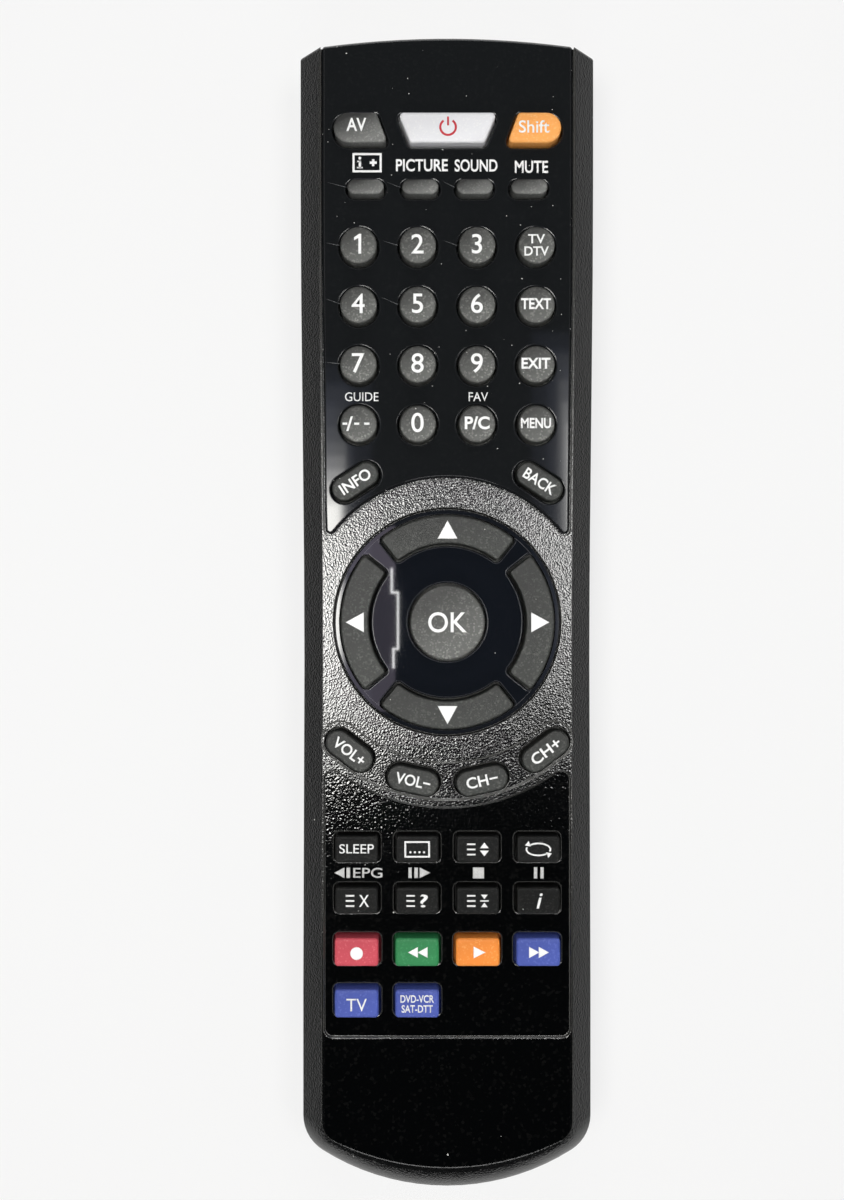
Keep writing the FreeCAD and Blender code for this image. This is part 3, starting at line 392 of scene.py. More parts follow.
def moulded(name, colour, fleck_colour, roughness, grain_height, grains=3400.0, flecks=0.3,
            edge=0.25, edge_highlight_colour=(0.2, 0.2, 0.2), dust_share=0.05, dust_cells=420.0,
            speck=0.06, painted_shade_darkest=1.0, specular=0.5, uneven=0.08, reach=0.00025,
            dull_sides=0.0, smoother_grains=0.0, rim=None):
    """A moulded surface; lengths are metres and colours are linear.

    The key shade argument is the darkest share of a key's tone in its painted
    shade, and 1.0 leaves the painted shade out. dull_sides is added to the
    roughness of steep faces. smoother_grains is the grains per metre in the
    smooth areas. rim is the middle and the two radii of a ring whose bead is
    rubbed level.
    """
    material, tree, shader = new_material(name)
    shader.inputs["Specular IOR Level"].default_value = specular
    texture = use(tree, grain, Grains_per_metre=grains, Flecks=flecks)
    if smoother_grains:
        floor = use(tree, smooth_areas).outputs["Inside"]
        coarser = calculate(tree, "MULTIPLY", floor, smoother_grains - grains)
        tree.links.new(calculate(tree, "ADD", coarser, grains),
                       texture.inputs["Grains per metre"])
    painted_light_and_wear = use(tree, edge_wear_and_highlight, Amount=edge, Reach=reach)
    specks = use(tree, dust, Cells_per_metre=dust_cells, Share=dust_share, Speck=speck)
    tone = mixed(tree, texture.outputs["Fleck"], colour, fleck_colour)
    # Painted shade on keys: darker towards the head and the left of each key, paler towards the
    # tail and the right.
    if painted_shade_darkest < 1.0:
        polished = use(tree, painted_key_shade, Darkest=painted_shade_darkest)
        tone = mixed(tree, polished.outputs["Share"], (0.0, 0.0, 0.0), tone)
    # Paler edges: partly edge wear, partly a painted highlight along every edge.
    tone = mixed(tree, painted_light_and_wear.outputs["Edge"], tone, edge_highlight_colour)
    tone = mixed(tree, specks.outputs["Dust"], tone, DUST_COLOUR)
    tree.links.new(tone, shader.inputs["Base Color"])
    gloss = calculate(tree, "MULTIPLY", texture.outputs["Height"], uneven)
    gloss = calculate(tree, "ADD", gloss, roughness - uneven / 2)
    height = calculate(tree, "MULTIPLY", texture.outputs["Height"], grain_height)
    if dull_sides:
        steep = use(tree, steep_sides).outputs["Side"]
        gloss = calculate(tree, "ADD", gloss, calculate(tree, "MULTIPLY", steep, dull_sides))
        loss = calculate(tree, "MULTIPLY", steep, SIDE_GRAIN_LOSS)
        height = calculate(tree, "MULTIPLY", height, calculate(tree, "SUBTRACT", 1.0, loss))
    if smoother_grains:
        polish = calculate(tree, "MULTIPLY", floor, FLOOR_POLISH)
        gloss = calculate(tree, "SUBTRACT", gloss, polish)
        loss = calculate(tree, "MULTIPLY", floor, FLOOR_GRAIN_LOSS)
        height = calculate(tree, "MULTIPLY", height, calculate(tree, "SUBTRACT", 1.0, loss))
    matt_specks = calculate(tree, "MULTIPLY", specks.outputs["Dust"], DUST_ROUGHNESS)
    gloss = calculate(tree, "MAXIMUM", gloss, matt_specks, clamp=True)
    tree.links.new(gloss, shader.inputs["Roughness"])
    normal = painted_light_and_wear.outputs["Normal"]
    if rim:
        band = use(tree, flat_rim, Middle_X=rim[0], Middle_Y=rim[1], Inner=rim[2], Outer=rim[3])
        level = add(tree, "ShaderNodeMix", data_type="VECTOR")
        tree.links.new(band.outputs["Share"], level.inputs[0])
        tree.links.new(normal, level.inputs[4])
        tree.links.new(band.outputs["Up"], level.inputs[5])
        normal = level.outputs[1]
    bump = add(tree, "ShaderNodeBump", {"Distance": 1.0, "Strength": 1.0})
    tree.links.new(height, bump.inputs["Height"])
    tree.links.new(normal, bump.inputs["Normal"])
    tree.links.new(bump.outputs["Normal"], shader.inputs["Normal"])
    return material


# %% [markdown]
# ### Case, panel and window
#
# The case is black plastic with a fine grain that glitters where a lamp is
# mirrored in it. Its steep sides are duller, and the floor of the lower recess
# and the tail end are smoother, with larger grains. The upper panel is the
# same plastic polished like a piano, so there only dust and faint haze show.
# The bezel round the keys is polished as well, and the top of its bead is
# worn level, so a lamp lies in it as one clean crescent. A lacquer over the
# grain would do as much, but such panels are mouldings from a polished tool.
# The infrared window is a deep red plastic that looks almost black.

# %% Finishes of the case
# The case's pale edge colour is mostly a painted highlight on its rims and recess outlines.
case_black = moulded(
    "textured black case", (0.0006, 0.0008, 0.001), (0.004, 0.004, 0.004), 0.13, 0.00006,
    grains=3000.0, flecks=0.15, edge=0.85, edge_highlight_colour=(0.24, 0.24, 0.23), dust_share=0.12,
    speck=0.07, specular=0.8, uneven=0.1, dull_sides=0.12, smoother_grains=2100.0)
gloss_black = moulded(
    "polished black panel", (0.0088, 0.0098, 0.0108), (0.012, 0.013, 0.014), 0.045, 0.0,
    flecks=0.2, edge=0.15, edge_highlight_colour=(0.15, 0.15, 0.16), dust_share=0.6,
    dust_cells=700.0, speck=0.08, uneven=0.02)
pad_x, pad_y = middle_mm("nav_bezel")
pad_radius = (box_mm("nav_bezel")[1].x - box_mm("nav_bezel")[0].x) / 2
BEAD_INNER_INSET = 1.35
BEAD_OUTER_INSET = 0.15
gloss_bezel = moulded(
    "polished black bezel", (0.006, 0.0076, 0.011), (0.008, 0.009, 0.013), 0.025, 0.0,
    flecks=0.2, edge=0.6, edge_highlight_colour=(0.25, 0.25, 0.27), dust_share=0.6,
    dust_cells=480.0, speck=0.06, uneven=0.01,
    rim=(pad_x * MM, pad_y * MM,
         (pad_radius - BEAD_INNER_INSET) * MM, (pad_radius - BEAD_OUTER_INSET) * MM))
window_red = moulded(
    "dark red window", (0.02, 0.002, 0.003), (0.03, 0.004, 0.005), 0.12, 0.0,
    flecks=0.1, edge=0.1, dust_share=0.02, uneven=0.02)
print("case finishes", [made.name for made in (case_black, gloss_black, gloss_bezel, window_red)])

# %% [markdown]
# ### Rubber keys
#
# Silicone rubber is softer to look at than plastic: rougher, with tiny flecks
# of talc, and painted paler on its edges, partly as wear and partly as a
# painted highlight. Each key is also painted paler towards the tail and the
# right, a painted shade that shows as a slow change of tone. The number keys
# are a lighter grey than the direction keys, and the eight keys in the lower
# recess get a near-black copy of the rubber, painted shade for that recess.
# Painting the tops would give the same colours, but these keys are coloured
# through, so their walls match.

# %% Finishes of the keys
KEY_TALC = dict(dust_share=0.16, dust_cells=900.0, speck=0.09, reach=0.0004)
key_grey = moulded(
    "grey black rubber", (0.022, 0.0245, 0.022), (0.075, 0.078, 0.072), 0.5, 0.00005,
    grains=3600.0, edge=0.4, edge_highlight_colour=(0.2, 0.2, 0.19), painted_shade_darkest=0.45, specular=0.4, **KEY_TALC)
key_round = moulded(
    "grey rubber of the number keys", (0.1, 0.103, 0.097), (0.24, 0.24, 0.228), 0.5, 0.00005,
    grains=3600.0, edge=0.25, edge_highlight_colour=(0.25, 0.25, 0.24), painted_shade_darkest=0.25, specular=0.4, **KEY_TALC)
key_small = moulded(
    "grey rubber of the small upper keys", (0.16, 0.163, 0.157), (0.26, 0.26, 0.25), 0.5,
    0.00004, grains=4200.0, edge=0.4, edge_highlight_colour=(0.25, 0.25, 0.24), painted_shade_darkest=0.05,
    specular=0.4, **KEY_TALC)
# Painted shade: the keys in the lower recess get a near-black copy of the rubber, as that recess
# lies in shade.
shaded_dark_rubber = moulded(
    "shaded dark rubber of the lower keys", (0.004, 0.0045, 0.0045), (0.019, 0.019, 0.018), 0.5,
    0.00004, grains=4200.0, edge=0.5, edge_highlight_colour=(0.16, 0.16, 0.155), painted_shade_darkest=0.5,
    specular=0.14, **KEY_TALC)
key_colours = {
    "key_white": ("white rubber", (0.77, 0.77, 0.8), (0.83, 0.83, 0.84)),
    "key_amber": ("amber rubber", (0.95, 0.4, 0.1), (0.98, 0.5, 0.18)),
    "key_red": ("red rubber", (0.6, 0.07, 0.1), (0.7, 0.13, 0.16)),
    "key_green": ("green rubber", (0.024, 0.23, 0.075), (0.05, 0.3, 0.11)),
    "key_orange": ("orange rubber", (0.93, 0.28, 0.04), (0.97, 0.38, 0.09)),
    "key_blue": ("blue rubber", (0.065, 0.1, 0.42), (0.11, 0.15, 0.52)),
}
coloured_rubber = {
    slot: moulded(name, colour, fleck, 0.5, 0.00002, grains=4200.0, flecks=0.2, edge=0.3,
                  painted_shade_darkest=0.85, specular=0.3, reach=0.0009,
                  edge_highlight_colour=tuple(min(1.0, channel * 1.3 + 0.05) for channel in colour),
                  dust_share=0.08, dust_cells=900.0, speck=0.08)
    for slot, (name, colour, fleck) in key_colours.items()}
print("rubber finishes", [made.name for made in (key_grey, key_round, key_small, shaded_dark_rubber)],
      [made.name for made in coloured_rubber.values()])

# %% [markdown]
# ### What lies inside
#
# The mat, board, cells and contacts show only when the battery cover is off,
# but they are still real materials: matt rubber, green solder mask, a shrunk
# jacket with a coloured band round each cell, and plated spring steel.

# %% Finishes of the inner pieces
mat_rubber = moulded(
    "matt grey mat", (0.12, 0.12, 0.12), (0.16, 0.16, 0.16), 0.7, 0.00002, edge=0.1)
board_green = moulded(
    "green board", (0.01, 0.1, 0.04), (0.015, 0.14, 0.06), 0.3, 0.00001, grains=1200.0)
component_black = moulded(
    "black components", (0.012, 0.012, 0.012), (0.03, 0.03, 0.03), 0.45, 0.00002)


def plain_surface(name, colour, fleck_colour, grains, flecks, uneven, smoothest, **constants):
    """Only flecks of tone and an uneven gloss; constants are values of the shader's sockets."""
    material, tree, shader = new_material(name)
    for label, value in constants.items():
        shader.inputs[label.replace("_", " ")].default_value = value
    texture = use(tree, grain, Grains_per_metre=grains, Flecks=flecks)
    tone = mixed(tree, texture.outputs["Fleck"], colour, fleck_colour)
    tree.links.new(tone, shader.inputs["Base Color"])
    gloss = calculate(tree, "MULTIPLY", texture.outputs["Height"], uneven)
    tree.links.new(calculate(tree, "ADD", gloss, smoothest), shader.inputs["Roughness"])
    return material


BAND_FROM = 0.7
JACKET_HALF = 0.475


def cell_jacket_material():
    """Dark jacket, a copper coloured band by the positive end, bare steel at the ends.

    The two cells lie head to tail, so along runs the other way in the right one.
    """
    material, tree, shader = new_material("cell jacket")
    place = axes(tree)
    low, high = box_mm("aaa_cells")
    share = calculate(tree, "DIVIDE", calculate(tree, "SUBTRACT", place["Y"], low.y * MM),
                      (high.y - low.y) * MM)
    right = calculate(tree, "GREATER_THAN", place["X"], 0.0)
    flipped = calculate(tree, "SUBTRACT", 1.0, share)
    along = calculate(tree, "ADD",
                      calculate(tree, "MULTIPLY", share, calculate(tree, "SUBTRACT", 1.0, right)),
                      calculate(tree, "MULTIPLY", flipped, right))
    band = calculate(tree, "GREATER_THAN", along, BAND_FROM)
    from_middle = calculate(tree, "ABSOLUTE", calculate(tree, "SUBTRACT", along, 0.5))
    bare = calculate(tree, "GREATER_THAN", from_middle, JACKET_HALF)
    texture = use(tree, grain, Grains_per_metre=1500.0, Flecks=0.3)
    tone = mixed(tree, texture.outputs["Fleck"], (0.015, 0.016, 0.02), (0.03, 0.03, 0.035))
    tone = mixed(tree, band, tone, (0.6, 0.25, 0.1))
    tone = mixed(tree, bare, tone, (0.6, 0.6, 0.6))
    tree.links.new(tone, shader.inputs["Base Color"])
    tree.links.new(bare, shader.inputs["Metallic"])
    gloss = calculate(tree, "MULTIPLY", texture.outputs["Height"], 0.15)
    tree.links.new(calculate(tree, "ADD", gloss, 0.2), shader.inputs["Roughness"])
    return material


contact_steel = plain_surface("plated spring steel", (0.62, 0.61, 0.58), (0.74, 0.73, 0.7),
                              900.0, 0.4, 0.2, 0.18, Metallic=1.0)
led_clear = plain_surface("clear diode", (0.8, 0.82, 0.86), (0.7, 0.72, 0.78),
                          700.0, 0.3, 0.08, 0.02, Transmission_Weight=0.8, IOR=1.52)
cell_jacket = cell_jacket_material()
print("inner finishes", [made.name for made in (
    mat_rubber, board_green, component_black, contact_steel, led_clear, cell_jacket)])

# %% [markdown]
# ### Hand the finishes to the solids
#
# Each solid came with one material slot, named in the model's record. The
# slots stay and only the material in them changes, so a later scene can still
# repaint the remote by slot.

# %% Give every solid its finish
round_keys = ["key_1", "key_2", "key_3", "key_tv", "key_4", "key_5", "key_6", "key_text",
              "key_7", "key_8", "key_9", "key_exit", "key_digits", "key_0", "key_previous",
              "key_menu", "key_ok"]
dark_keys = ["key_sleep", "key_subtitle", "key_list", "key_swap", "key_text_hold",
             "key_text_reveal", "key_text_time", "key_text_index"]
finishes = {name: key_round for name in round_keys}
finishes.update({name: shaded_dark_rubber for name in dark_keys})
finishes.update({name: key_small for name in (
    "key_av", "key_input_info", "key_picture", "key_sound", "key_mute")})
finishes.update({
    "front_case": case_black, "rear_case": case_black, "battery_cover": case_black,
    "upper_face_panel": gloss_black, "nav_bezel": gloss_bezel, "ir_window": window_red,
    "keypad_mat": mat_rubber, "circuit_board": board_green,
    "board_components": component_black, "ir_led": led_clear, "aaa_cells": cell_jacket,
    "battery_contacts": contact_steel, "key_power": coloured_rubber["key_white"],
    "key_shift": coloured_rubber["key_amber"], "key_red": coloured_rubber["key_red"],
    "key_green": coloured_rubber["key_green"], "key_orange": coloured_rubber["key_orange"],
    "key_blue": coloured_rubber["key_blue"], "key_device_tv": coloured_rubber["key_blue"],
    "key_device_player": coloured_rubber["key_blue"],
})
for name, node in frame["nodes"].items():
    for material_slot in node.material_slots:
        material_slot.material = finishes.get(name, key_grey)
print("finished nodes", len(frame["nodes"]), "with a finish of their own", len(finishes))

# %% [markdown]
# ## Printing on the keys and on the panel
#
# The legends are pad printed: a film of white ink a few hundredths of a
# millimetre thick. They could be drawn in the materials, but real little
# meshes stay sharp at every distance and travel with their key. Letters come
# from a text curve turned into a mesh, and are then fitted to the width and
# height that the real legend has. Symbols are flat outlines given thickness.

# %% Ink
INK_THICKNESS = 0.03 * MM


def ink(name, colour, paler):
    """Printing ink, slightly uneven and slightly rough."""
    return moulded(name, colour, paler, 0.45, 0.000008, grains=5000.0, flecks=0.5, edge=0.0,
                   dust_share=0.0, uneven=0.1)


white_ink = ink("white ink", (0.93, 0.93, 0.93), (0.98, 0.98, 0.98))
# Painted shade: a greyer copy of the white ink for the labels in the lower recess, which lies in
# shade.
shaded_white_ink = ink("shaded white ink", (0.62, 0.62, 0.62), (0.74, 0.74, 0.74))
red_ink = ink("red ink", (0.55, 0.02, 0.035), (0.65, 0.05, 0.07))
case_ink = {panel_top: white_ink, lower_floor: shaded_white_ink}
print("inks", [made.name for made in (white_ink, shaded_white_ink, red_ink)])


# %% From flat outlines to a printed mesh on its body
def printed(name, mesh, x, y, z, turn, body, material=white_ink):
    """Lays a flat mesh, drawn in millimetres about its own middle, on a surface."""
    mesh.transform(Matrix.Translation(Vector((x, y, z)) * MM)
                   @ Matrix.Rotation(math.radians(turn), 4, "Z")
                   @ Matrix.Diagonal((MM, MM, 1.0, 1.0)))
    piece = bpy.data.objects.new(name, mesh)
    bpy.context.scene.collection.objects.link(piece)
    mesh.materials.clear()
    mesh.materials.append(material)
    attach(piece, body)
    return piece


def thick_mesh(name, outlines):
    """A mesh of flat shapes; each shape is a list of points, or an outer and an inner list."""
    bm = bmesh.new()

    def wall(loop):
        for index, below in enumerate(loop):
            beside = loop[(index + 1) % len(loop)]
            bm.faces.new((below[0], beside[0], beside[1], below[1]))

    def raised(points):
        return [(bm.verts.new((px, py, 0.0)), bm.verts.new((px, py, INK_THICKNESS)))
                for px, py in points]

    for shape in outlines:
        if isinstance(shape[0][0], (int, float)):
            loop = raised(shape)
            bm.faces.new([pair[1] for pair in loop])
            bm.faces.new([pair[0] for pair in reversed(loop)])
            wall(loop)
        else:
            outer, inner = (raised(points) for points in shape)
            wall(outer)
            wall(list(reversed(inner)))
            for index in range(len(outer)):
                after = (index + 1) % len(outer)
                bm.faces.new((outer[index][1], outer[after][1], inner[after][1], inner[index][1]))
                bm.faces.new((outer[after][0], outer[index][0], inner[index][0], inner[after][0]))
    bmesh.ops.recalc_face_normals(bm, faces=bm.faces)
    mesh = bpy.data.meshes.new(name)
    bm.to_mesh(mesh)
    bm.free()
    return mesh


def text_mesh(name, words, height, width=None, weight=0.0, slant=0.0):
    """Letters of a given capital height, and width if given, about their own middle."""
    curve = bpy.data.curves.new(name, "FONT")
    curve.body = words
    curve.size = 1.0
    curve.offset = weight
    curve.shear = slant
    curve.resolution_u = 5
    curve.extrude = 0.5
    holder = bpy.data.objects.new(name, curve)
    bpy.context.scene.collection.objects.link(holder)
    bpy.context.view_layer.update()
    ready = holder.evaluated_get(bpy.context.evaluated_depsgraph_get())
    mesh = bpy.data.meshes.new_from_object(ready)
    mesh.name = name
    bpy.data.objects.remove(holder)
    xs = [vertex.co.x for vertex in mesh.vertices]
    ys = [vertex.co.y for vertex in mesh.vertices]
    scale_y = height / (max(ys) - min(ys))
    scale_x = scale_y if width is None else width / (max(xs) - min(xs))
    centre = Vector(((min(xs) + max(xs)) / 2, (min(ys) + max(ys)) / 2, -0.5))
    mesh.transform(Matrix.Diagonal((scale_x, scale_y, INK_THICKNESS, 1.0))
                   @ Matrix.Translation(-centre))
    return mesh


# %% Outlines that the symbols are made of, all in millimetres
def bar(left, right, low, high):
    """An upright rectangle."""
    return [(left, low), (right, low), (right, high), (left, high)]


def frame_outline(width, height, line):
    """A rectangular ring: its outer corners and its inner corners."""
    inner_width = width - 2 * line
    inner_height = height - 2 * line
    return [bar(-width / 2, width / 2, -height / 2, height / 2),
            bar(-inner_width / 2, inner_width / 2, -inner_height / 2, inner_height / 2)]


def disc(x, y, radius, steps=24):
    """A round spot."""
    return [(x + radius * math.cos(2 * math.pi * step / steps),
             y + radius * math.sin(2 * math.pi * step / steps)) for step in range(steps)]


def arrow(x, y, length, height, way):
    """A solid triangle that points along way, an angle in degrees, about its own middle."""
    cosine, sine = math.cos(math.radians(way)), math.sin(math.radians(way))
    corners = [(length / 2, 0), (-length / 2, height / 2), (-length / 2, -height / 2)]
    return [(x + px * cosine - py * sine, y + px * sine + py * cosine) for px, py in corners]


def bent_band(radius_x, radius_y, start, end, line, steps=20):
    """A stretch of an oval ring, from one angle to another."""
    angles = [math.radians(start + (end - start) * step / steps) for step in range(steps + 1)]
    outer = [((radius_x + line / 2) * math.cos(a), (radius_y + line / 2) * math.sin(a))
             for a in angles]
    inner = [((radius_x - line / 2) * math.cos(a), (radius_y - line / 2) * math.sin(a))
             for a in reversed(angles)]
    return outer + inner


# %% [markdown]
# ### Letters
#
# Legends could all have one size, but the real ones are fitted to their keys.
# So each row of a table is one legend: where it is printed, what it says, how
# far from the middle of its key it lies, how wide and high it is, and how much
# its strokes are thickened. None as a width keeps the letters' own proportions.
# Only the numeral 1 is drawn point by point, as the font's has no flag.

# %% Legends made of letters
key_words = [
    ("key_av", "AV", -0.6, 0.45, 3.5, 2.35, 0.02),
    ("key_shift", "Shift", -0.2, 0.1, 5.4, 2.2, 0.01),
    ("key_text", "TEXT", -0.1, 0.15, 5.3, 1.95, 0.03),
    ("key_exit", "EXIT", -0.1, 0.15, 5.1, 1.95, 0.03),
    ("key_menu", "MENU", -0.1, 0.1, 5.3, 1.85, 0.03),
    ("key_previous", "P/C", 0.0, 0.15, 4.4, 2.3, 0.03),
    ("key_ok", "OK", 0.0, 0.0, 6.8, 3.6, 0.01),
    ("key_sleep", "SLEEP", 0.0, 0.1, 6.1, 1.65, 0.005),
    ("key_device_tv", "TV", 0.0, -0.2, 3.6, 2.2, 0.0),
]
for number in "234567890":
    key_words.append(("key_" + number, number, -0.05, 0.2, None, 3.45, 0.008))
for key, words, dx, dy, width, height, weight in key_words:
    x, y = middle_mm(key)
    printed("legend_" + key, text_mesh("legend_" + key, words, height, width, weight),
            x + dx, y + dy, key_top, 0.0, body_of(key))
x, y = middle_mm("key_1")
printed("legend_key_1",
        thick_mesh("legend_key_1", [[(0.5, -1.75), (0.5, 1.75), (0.12, 1.75), (-0.78, 1.12),
                                     (-0.78, 0.62), (-0.02, 1.02), (-0.02, -1.75)]]),
        x, y + 0.2, key_top, 0.0, body_of("key_1"))
print("keys with letters", len(key_words) + 1)

# %% Two lines on one key
for key, lines, width, height, pitch in (
        ("key_tv", ("TV", "DTV"), (3.0, 4.3), 1.65, 2.15),
        ("key_device_player", ("DVD-VCR", "SAT-DTT"), (5.9, 5.5), 1.35, 1.75)):
    x, y = middle_mm(key)
    for index, words in enumerate(lines):
        name = "legend_%s_%d" % (key, index + 1)
        printed(name, text_mesh(name, words, height, width[index], 0.02),
                x, y + (0.5 - index) * pitch, key_top, 0.0, body_of(key))

# %% Letters that follow the tilted keys
tilted_words = [
    ("key_info", "INFO", 33.2, 6.0, 2.0), ("key_back", "BACK", -33.2, 6.2, 2.0),
    ("key_volume_up", "VOL+", -37.3, 6.4, 2.0), ("key_volume_down", "VOL\u2212", -12.3, 6.2, 2.0),
    ("key_channel_down", "CH\u2212", 12.3, 5.6, 2.0), ("key_channel_up", "CH+", 37.3, 5.9, 2.0),
]
for key, words, turn, width, height in tilted_words:
    x, y = middle_mm(key)
    printed("legend_" + key, text_mesh("legend_" + key, words, height, width, 0.02),
            x, y, key_top, turn, body_of(key))

# %% Letters on the glossy panel and in the lower recess
for name, words, x, y, z, width, height, weight in (
        ("label_picture", "PICTURE", -4.5, 79.9, panel_top, 9.2, 2.2, 0.022),
        ("label_sound", "SOUND", 5.1, 79.85, panel_top, 7.6, 2.2, 0.022),
        ("label_mute", "MUTE", 14.9, 79.6, panel_top, 5.9, 2.2, 0.022),
        ("label_guide", "GUIDE", -15.15, 38.9, panel_top, 5.95, 1.6, 0.005),
        ("label_favourite", "FAV", 5.5, 38.9, panel_top, 3.45, 1.6, 0.005),
        ("label_programmes", "EPG", -14.1, -45.55, lower_floor, 5.2, 1.8, 0.01)):
    printed(name, text_mesh(name, words, height, width, weight), x, y, z, 0.0, "case_body",
            case_ink[z])
print("labels on the case", 6)

# %% [markdown]
# ### Symbols
#
# The same few outlines make all the symbols: bars, triangles, discs, frames
# and bent bands. They could be letters of a symbol font, but outlines drawn
# here are the same on every computer. One dictionary holds them, key by key.

# %% Symbols on the keys
THREE_LINES = [bar(-1.9, -0.4, y - 0.15, y + 0.15) for y in (-0.9, 0.0, 0.9)]
key_symbols = {
    "key_digits": [bar(-2.8, -1.95, -0.2, 0.2), bar(-0.75, 0.15, -0.2, 0.2),
                   bar(1.0, 1.95, -0.2, 0.2),
                   [(-2.15, -1.3), (-1.75, -1.3), (-0.95, 1.3), (-1.35, 1.3)]],
    "key_subtitle": [frame_outline(4.5, 2.9, 0.32)]
                    + [disc(x, -0.5, 0.2, 12) for x in (-1.2, -0.4, 0.4, 1.2)],
    "key_list": THREE_LINES + [arrow(1.15, 0.7, 1.0, 1.6, 90), arrow(1.15, -0.7, 1.0, 1.6, 270)],
    "key_swap": [bent_band(2.1, 1.05, -20, 135, 0.3), bent_band(2.1, 1.05, 160, 315, 0.3),
                 arrow(-1.95, 0.85, 0.9, 1.1, 200), arrow(1.95, -0.85, 0.9, 1.1, 20)],
    "key_text_hold": THREE_LINES,
    "key_text_reveal": THREE_LINES,
    "key_text_time": THREE_LINES + [bar(0.4, 1.9, -0.12, 0.12),
                                    arrow(1.15, 0.7, 0.8, 1.2, 270),
                                    arrow(1.15, -0.7, 0.8, 1.2, 90)],
    "key_red": [disc(0.0, -0.2, 1.12)],
    "key_green": [arrow(-0.75, 0, 1.75, 1.9, 180), arrow(0.95, 0, 1.75, 1.9, 180)],
    "key_orange": [arrow(0.3, 0, 2.1, 2.1, 0)],
    "key_blue": [arrow(-0.75, 0, 1.8, 2.0, 0), arrow(0.95, 0, 1.8, 2.0, 0)],
}
for key, outlines in key_symbols.items():
    x, y = middle_mm(key)
    name = "symbol_" + key
    printed(name, thick_mesh(name, outlines), x, y, key_top, 0.0, body_of(key))
print("keys with symbols", len(key_symbols))

# %% Triangles on the direction keys
TRIANGLE_RADIUS = 16.3
for key, way in (("key_up", 90), ("key_left", 180), ("key_down", 270), ("key_right", 0)):
    name = "symbol_" + key
    printed(name, thick_mesh(name, [arrow(0, 0, 3.2, 3.5, way)]),
            pad_x + TRIANGLE_RADIUS * math.cos(math.radians(way)),
            pad_y + TRIANGLE_RADIUS * math.sin(math.radians(way)), key_top, 0.0, body_of(key))

# %% Letters that belong to a symbol, and the power sign
for key, words, dx, width, height, slant in (("key_text_hold", "X", 1.3, 1.75, 2.1, 0.0),
                                             ("key_text_reveal", "?", 1.2, 1.4, 2.3, 0.0),
                                             ("key_text_index", "i", 0.2, None, 2.7, 0.25)):
    x, y = middle_mm(key)
    name = "letter_" + key
    printed(name, text_mesh(name, words, height, width, 0.01, slant),
            x + dx, y, key_top, 0.0, body_of(key))
x, y = middle_mm("key_power")
printed("symbol_key_power",
        thick_mesh("symbol_key_power", [bent_band(1.37, 1.37, 125, 415, 0.38, 40),
                                        bar(-0.17, 0.17, 0.3, 1.85)]),
        x + 0.1, y, key_top, 0.0, body_of("key_power"), red_ink)

# %% Symbols on the panel and in the lower recess
HALF_LINE = 0.93
label_y = -45.55
for name, outlines, x, y, z in (
        ("label_info_box", [frame_outline(5.2, 3.45, 0.4), bar(0.45, 1.7, -0.22, 0.22),
                            bar(0.85, 1.3, -0.62, -0.22), bar(0.85, 1.3, 0.22, 0.62),
                            bar(-1.5, -1.05, -0.9, 0.25), bar(-1.75, -1.05, 0.1, 0.35),
                            bar(-1.8, -0.75, -1.0, -0.75), disc(-1.28, 0.8, 0.27, 12)],
         -14.2, 80.35, panel_top),
        ("label_step_back", [arrow(-0.5, 0, 1.8, 1.9, 180), bar(0.75, 1.4, -HALF_LINE, HALF_LINE)],
         -18.65, label_y, lower_floor),
        ("label_step_on", [bar(-1.95, -1.35, -HALF_LINE, HALF_LINE),
                           bar(-0.9, -0.25, -HALF_LINE, HALF_LINE), arrow(1.0, 0, 1.9, 1.9, 0)],
         -4.95, label_y, lower_floor),
        ("label_stop", [bar(-1.0, 1.0, -1.0, 0.95)], 5.55, label_y, lower_floor),
        ("label_pause", [bar(-0.85, -0.25, -1.0, 1.0), bar(0.3, 0.9, -1.0, 1.0)],
         16.25, label_y, lower_floor)):
    printed(name, thick_mesh(name, outlines), x, y, z, 0.0, "case_body", case_ink[z])

# %% [markdown]
# ### Flow marks
#
# Where molten plastic met behind a key's hole, the polished panel keeps a
# hairline. They could be scratches in the panel's bump, but a hairline is
# narrower than the grain of any texture, so each is one thin tapered sliver.

# %% Hairlines at the left of nine keys
flow_mark = moulded("flow mark", (0.08, 0.083, 0.088), (0.16, 0.165, 0.17), 0.2, 0.0,
                    flecks=0.5, edge=0.0, dust_share=0.0)
MARK_WIDTH = 0.14
CAP_TO_MARK = 3.5
MARK_ABOVE_MIDDLE = 0.4
panel_edge = box_mm("upper_face_panel")[0].x + 0.5
flow_marks = (("key_input_info", 3.4, 0.9), ("key_1", 2.6, 0.5), ("key_4", 3.0, 1.1),
              ("key_7", 2.6, 0.3), ("key_picture", 2.4, 0.9), ("key_sound", 2.2, 1.1),
              ("key_2", 2.6, 0.8), ("key_3", 2.4, 0.9), ("key_5", 2.9, 1.3))
for key, reach, rise in flow_marks:
    x, y = middle_mm(key)
    start_x = max(x - CAP_TO_MARK, panel_edge + reach)
    sliver = [(0.0, -MARK_WIDTH / 2), (0.0, MARK_WIDTH / 2), (-reach, rise)]
    name = "flow_mark_" + key
    printed(name, thick_mesh(name, [sliver]), start_x, y + MARK_ABOVE_MIDDLE, panel_top, 0.0,
            "case_body", flow_mark)
print("flow marks", len(flow_marks))

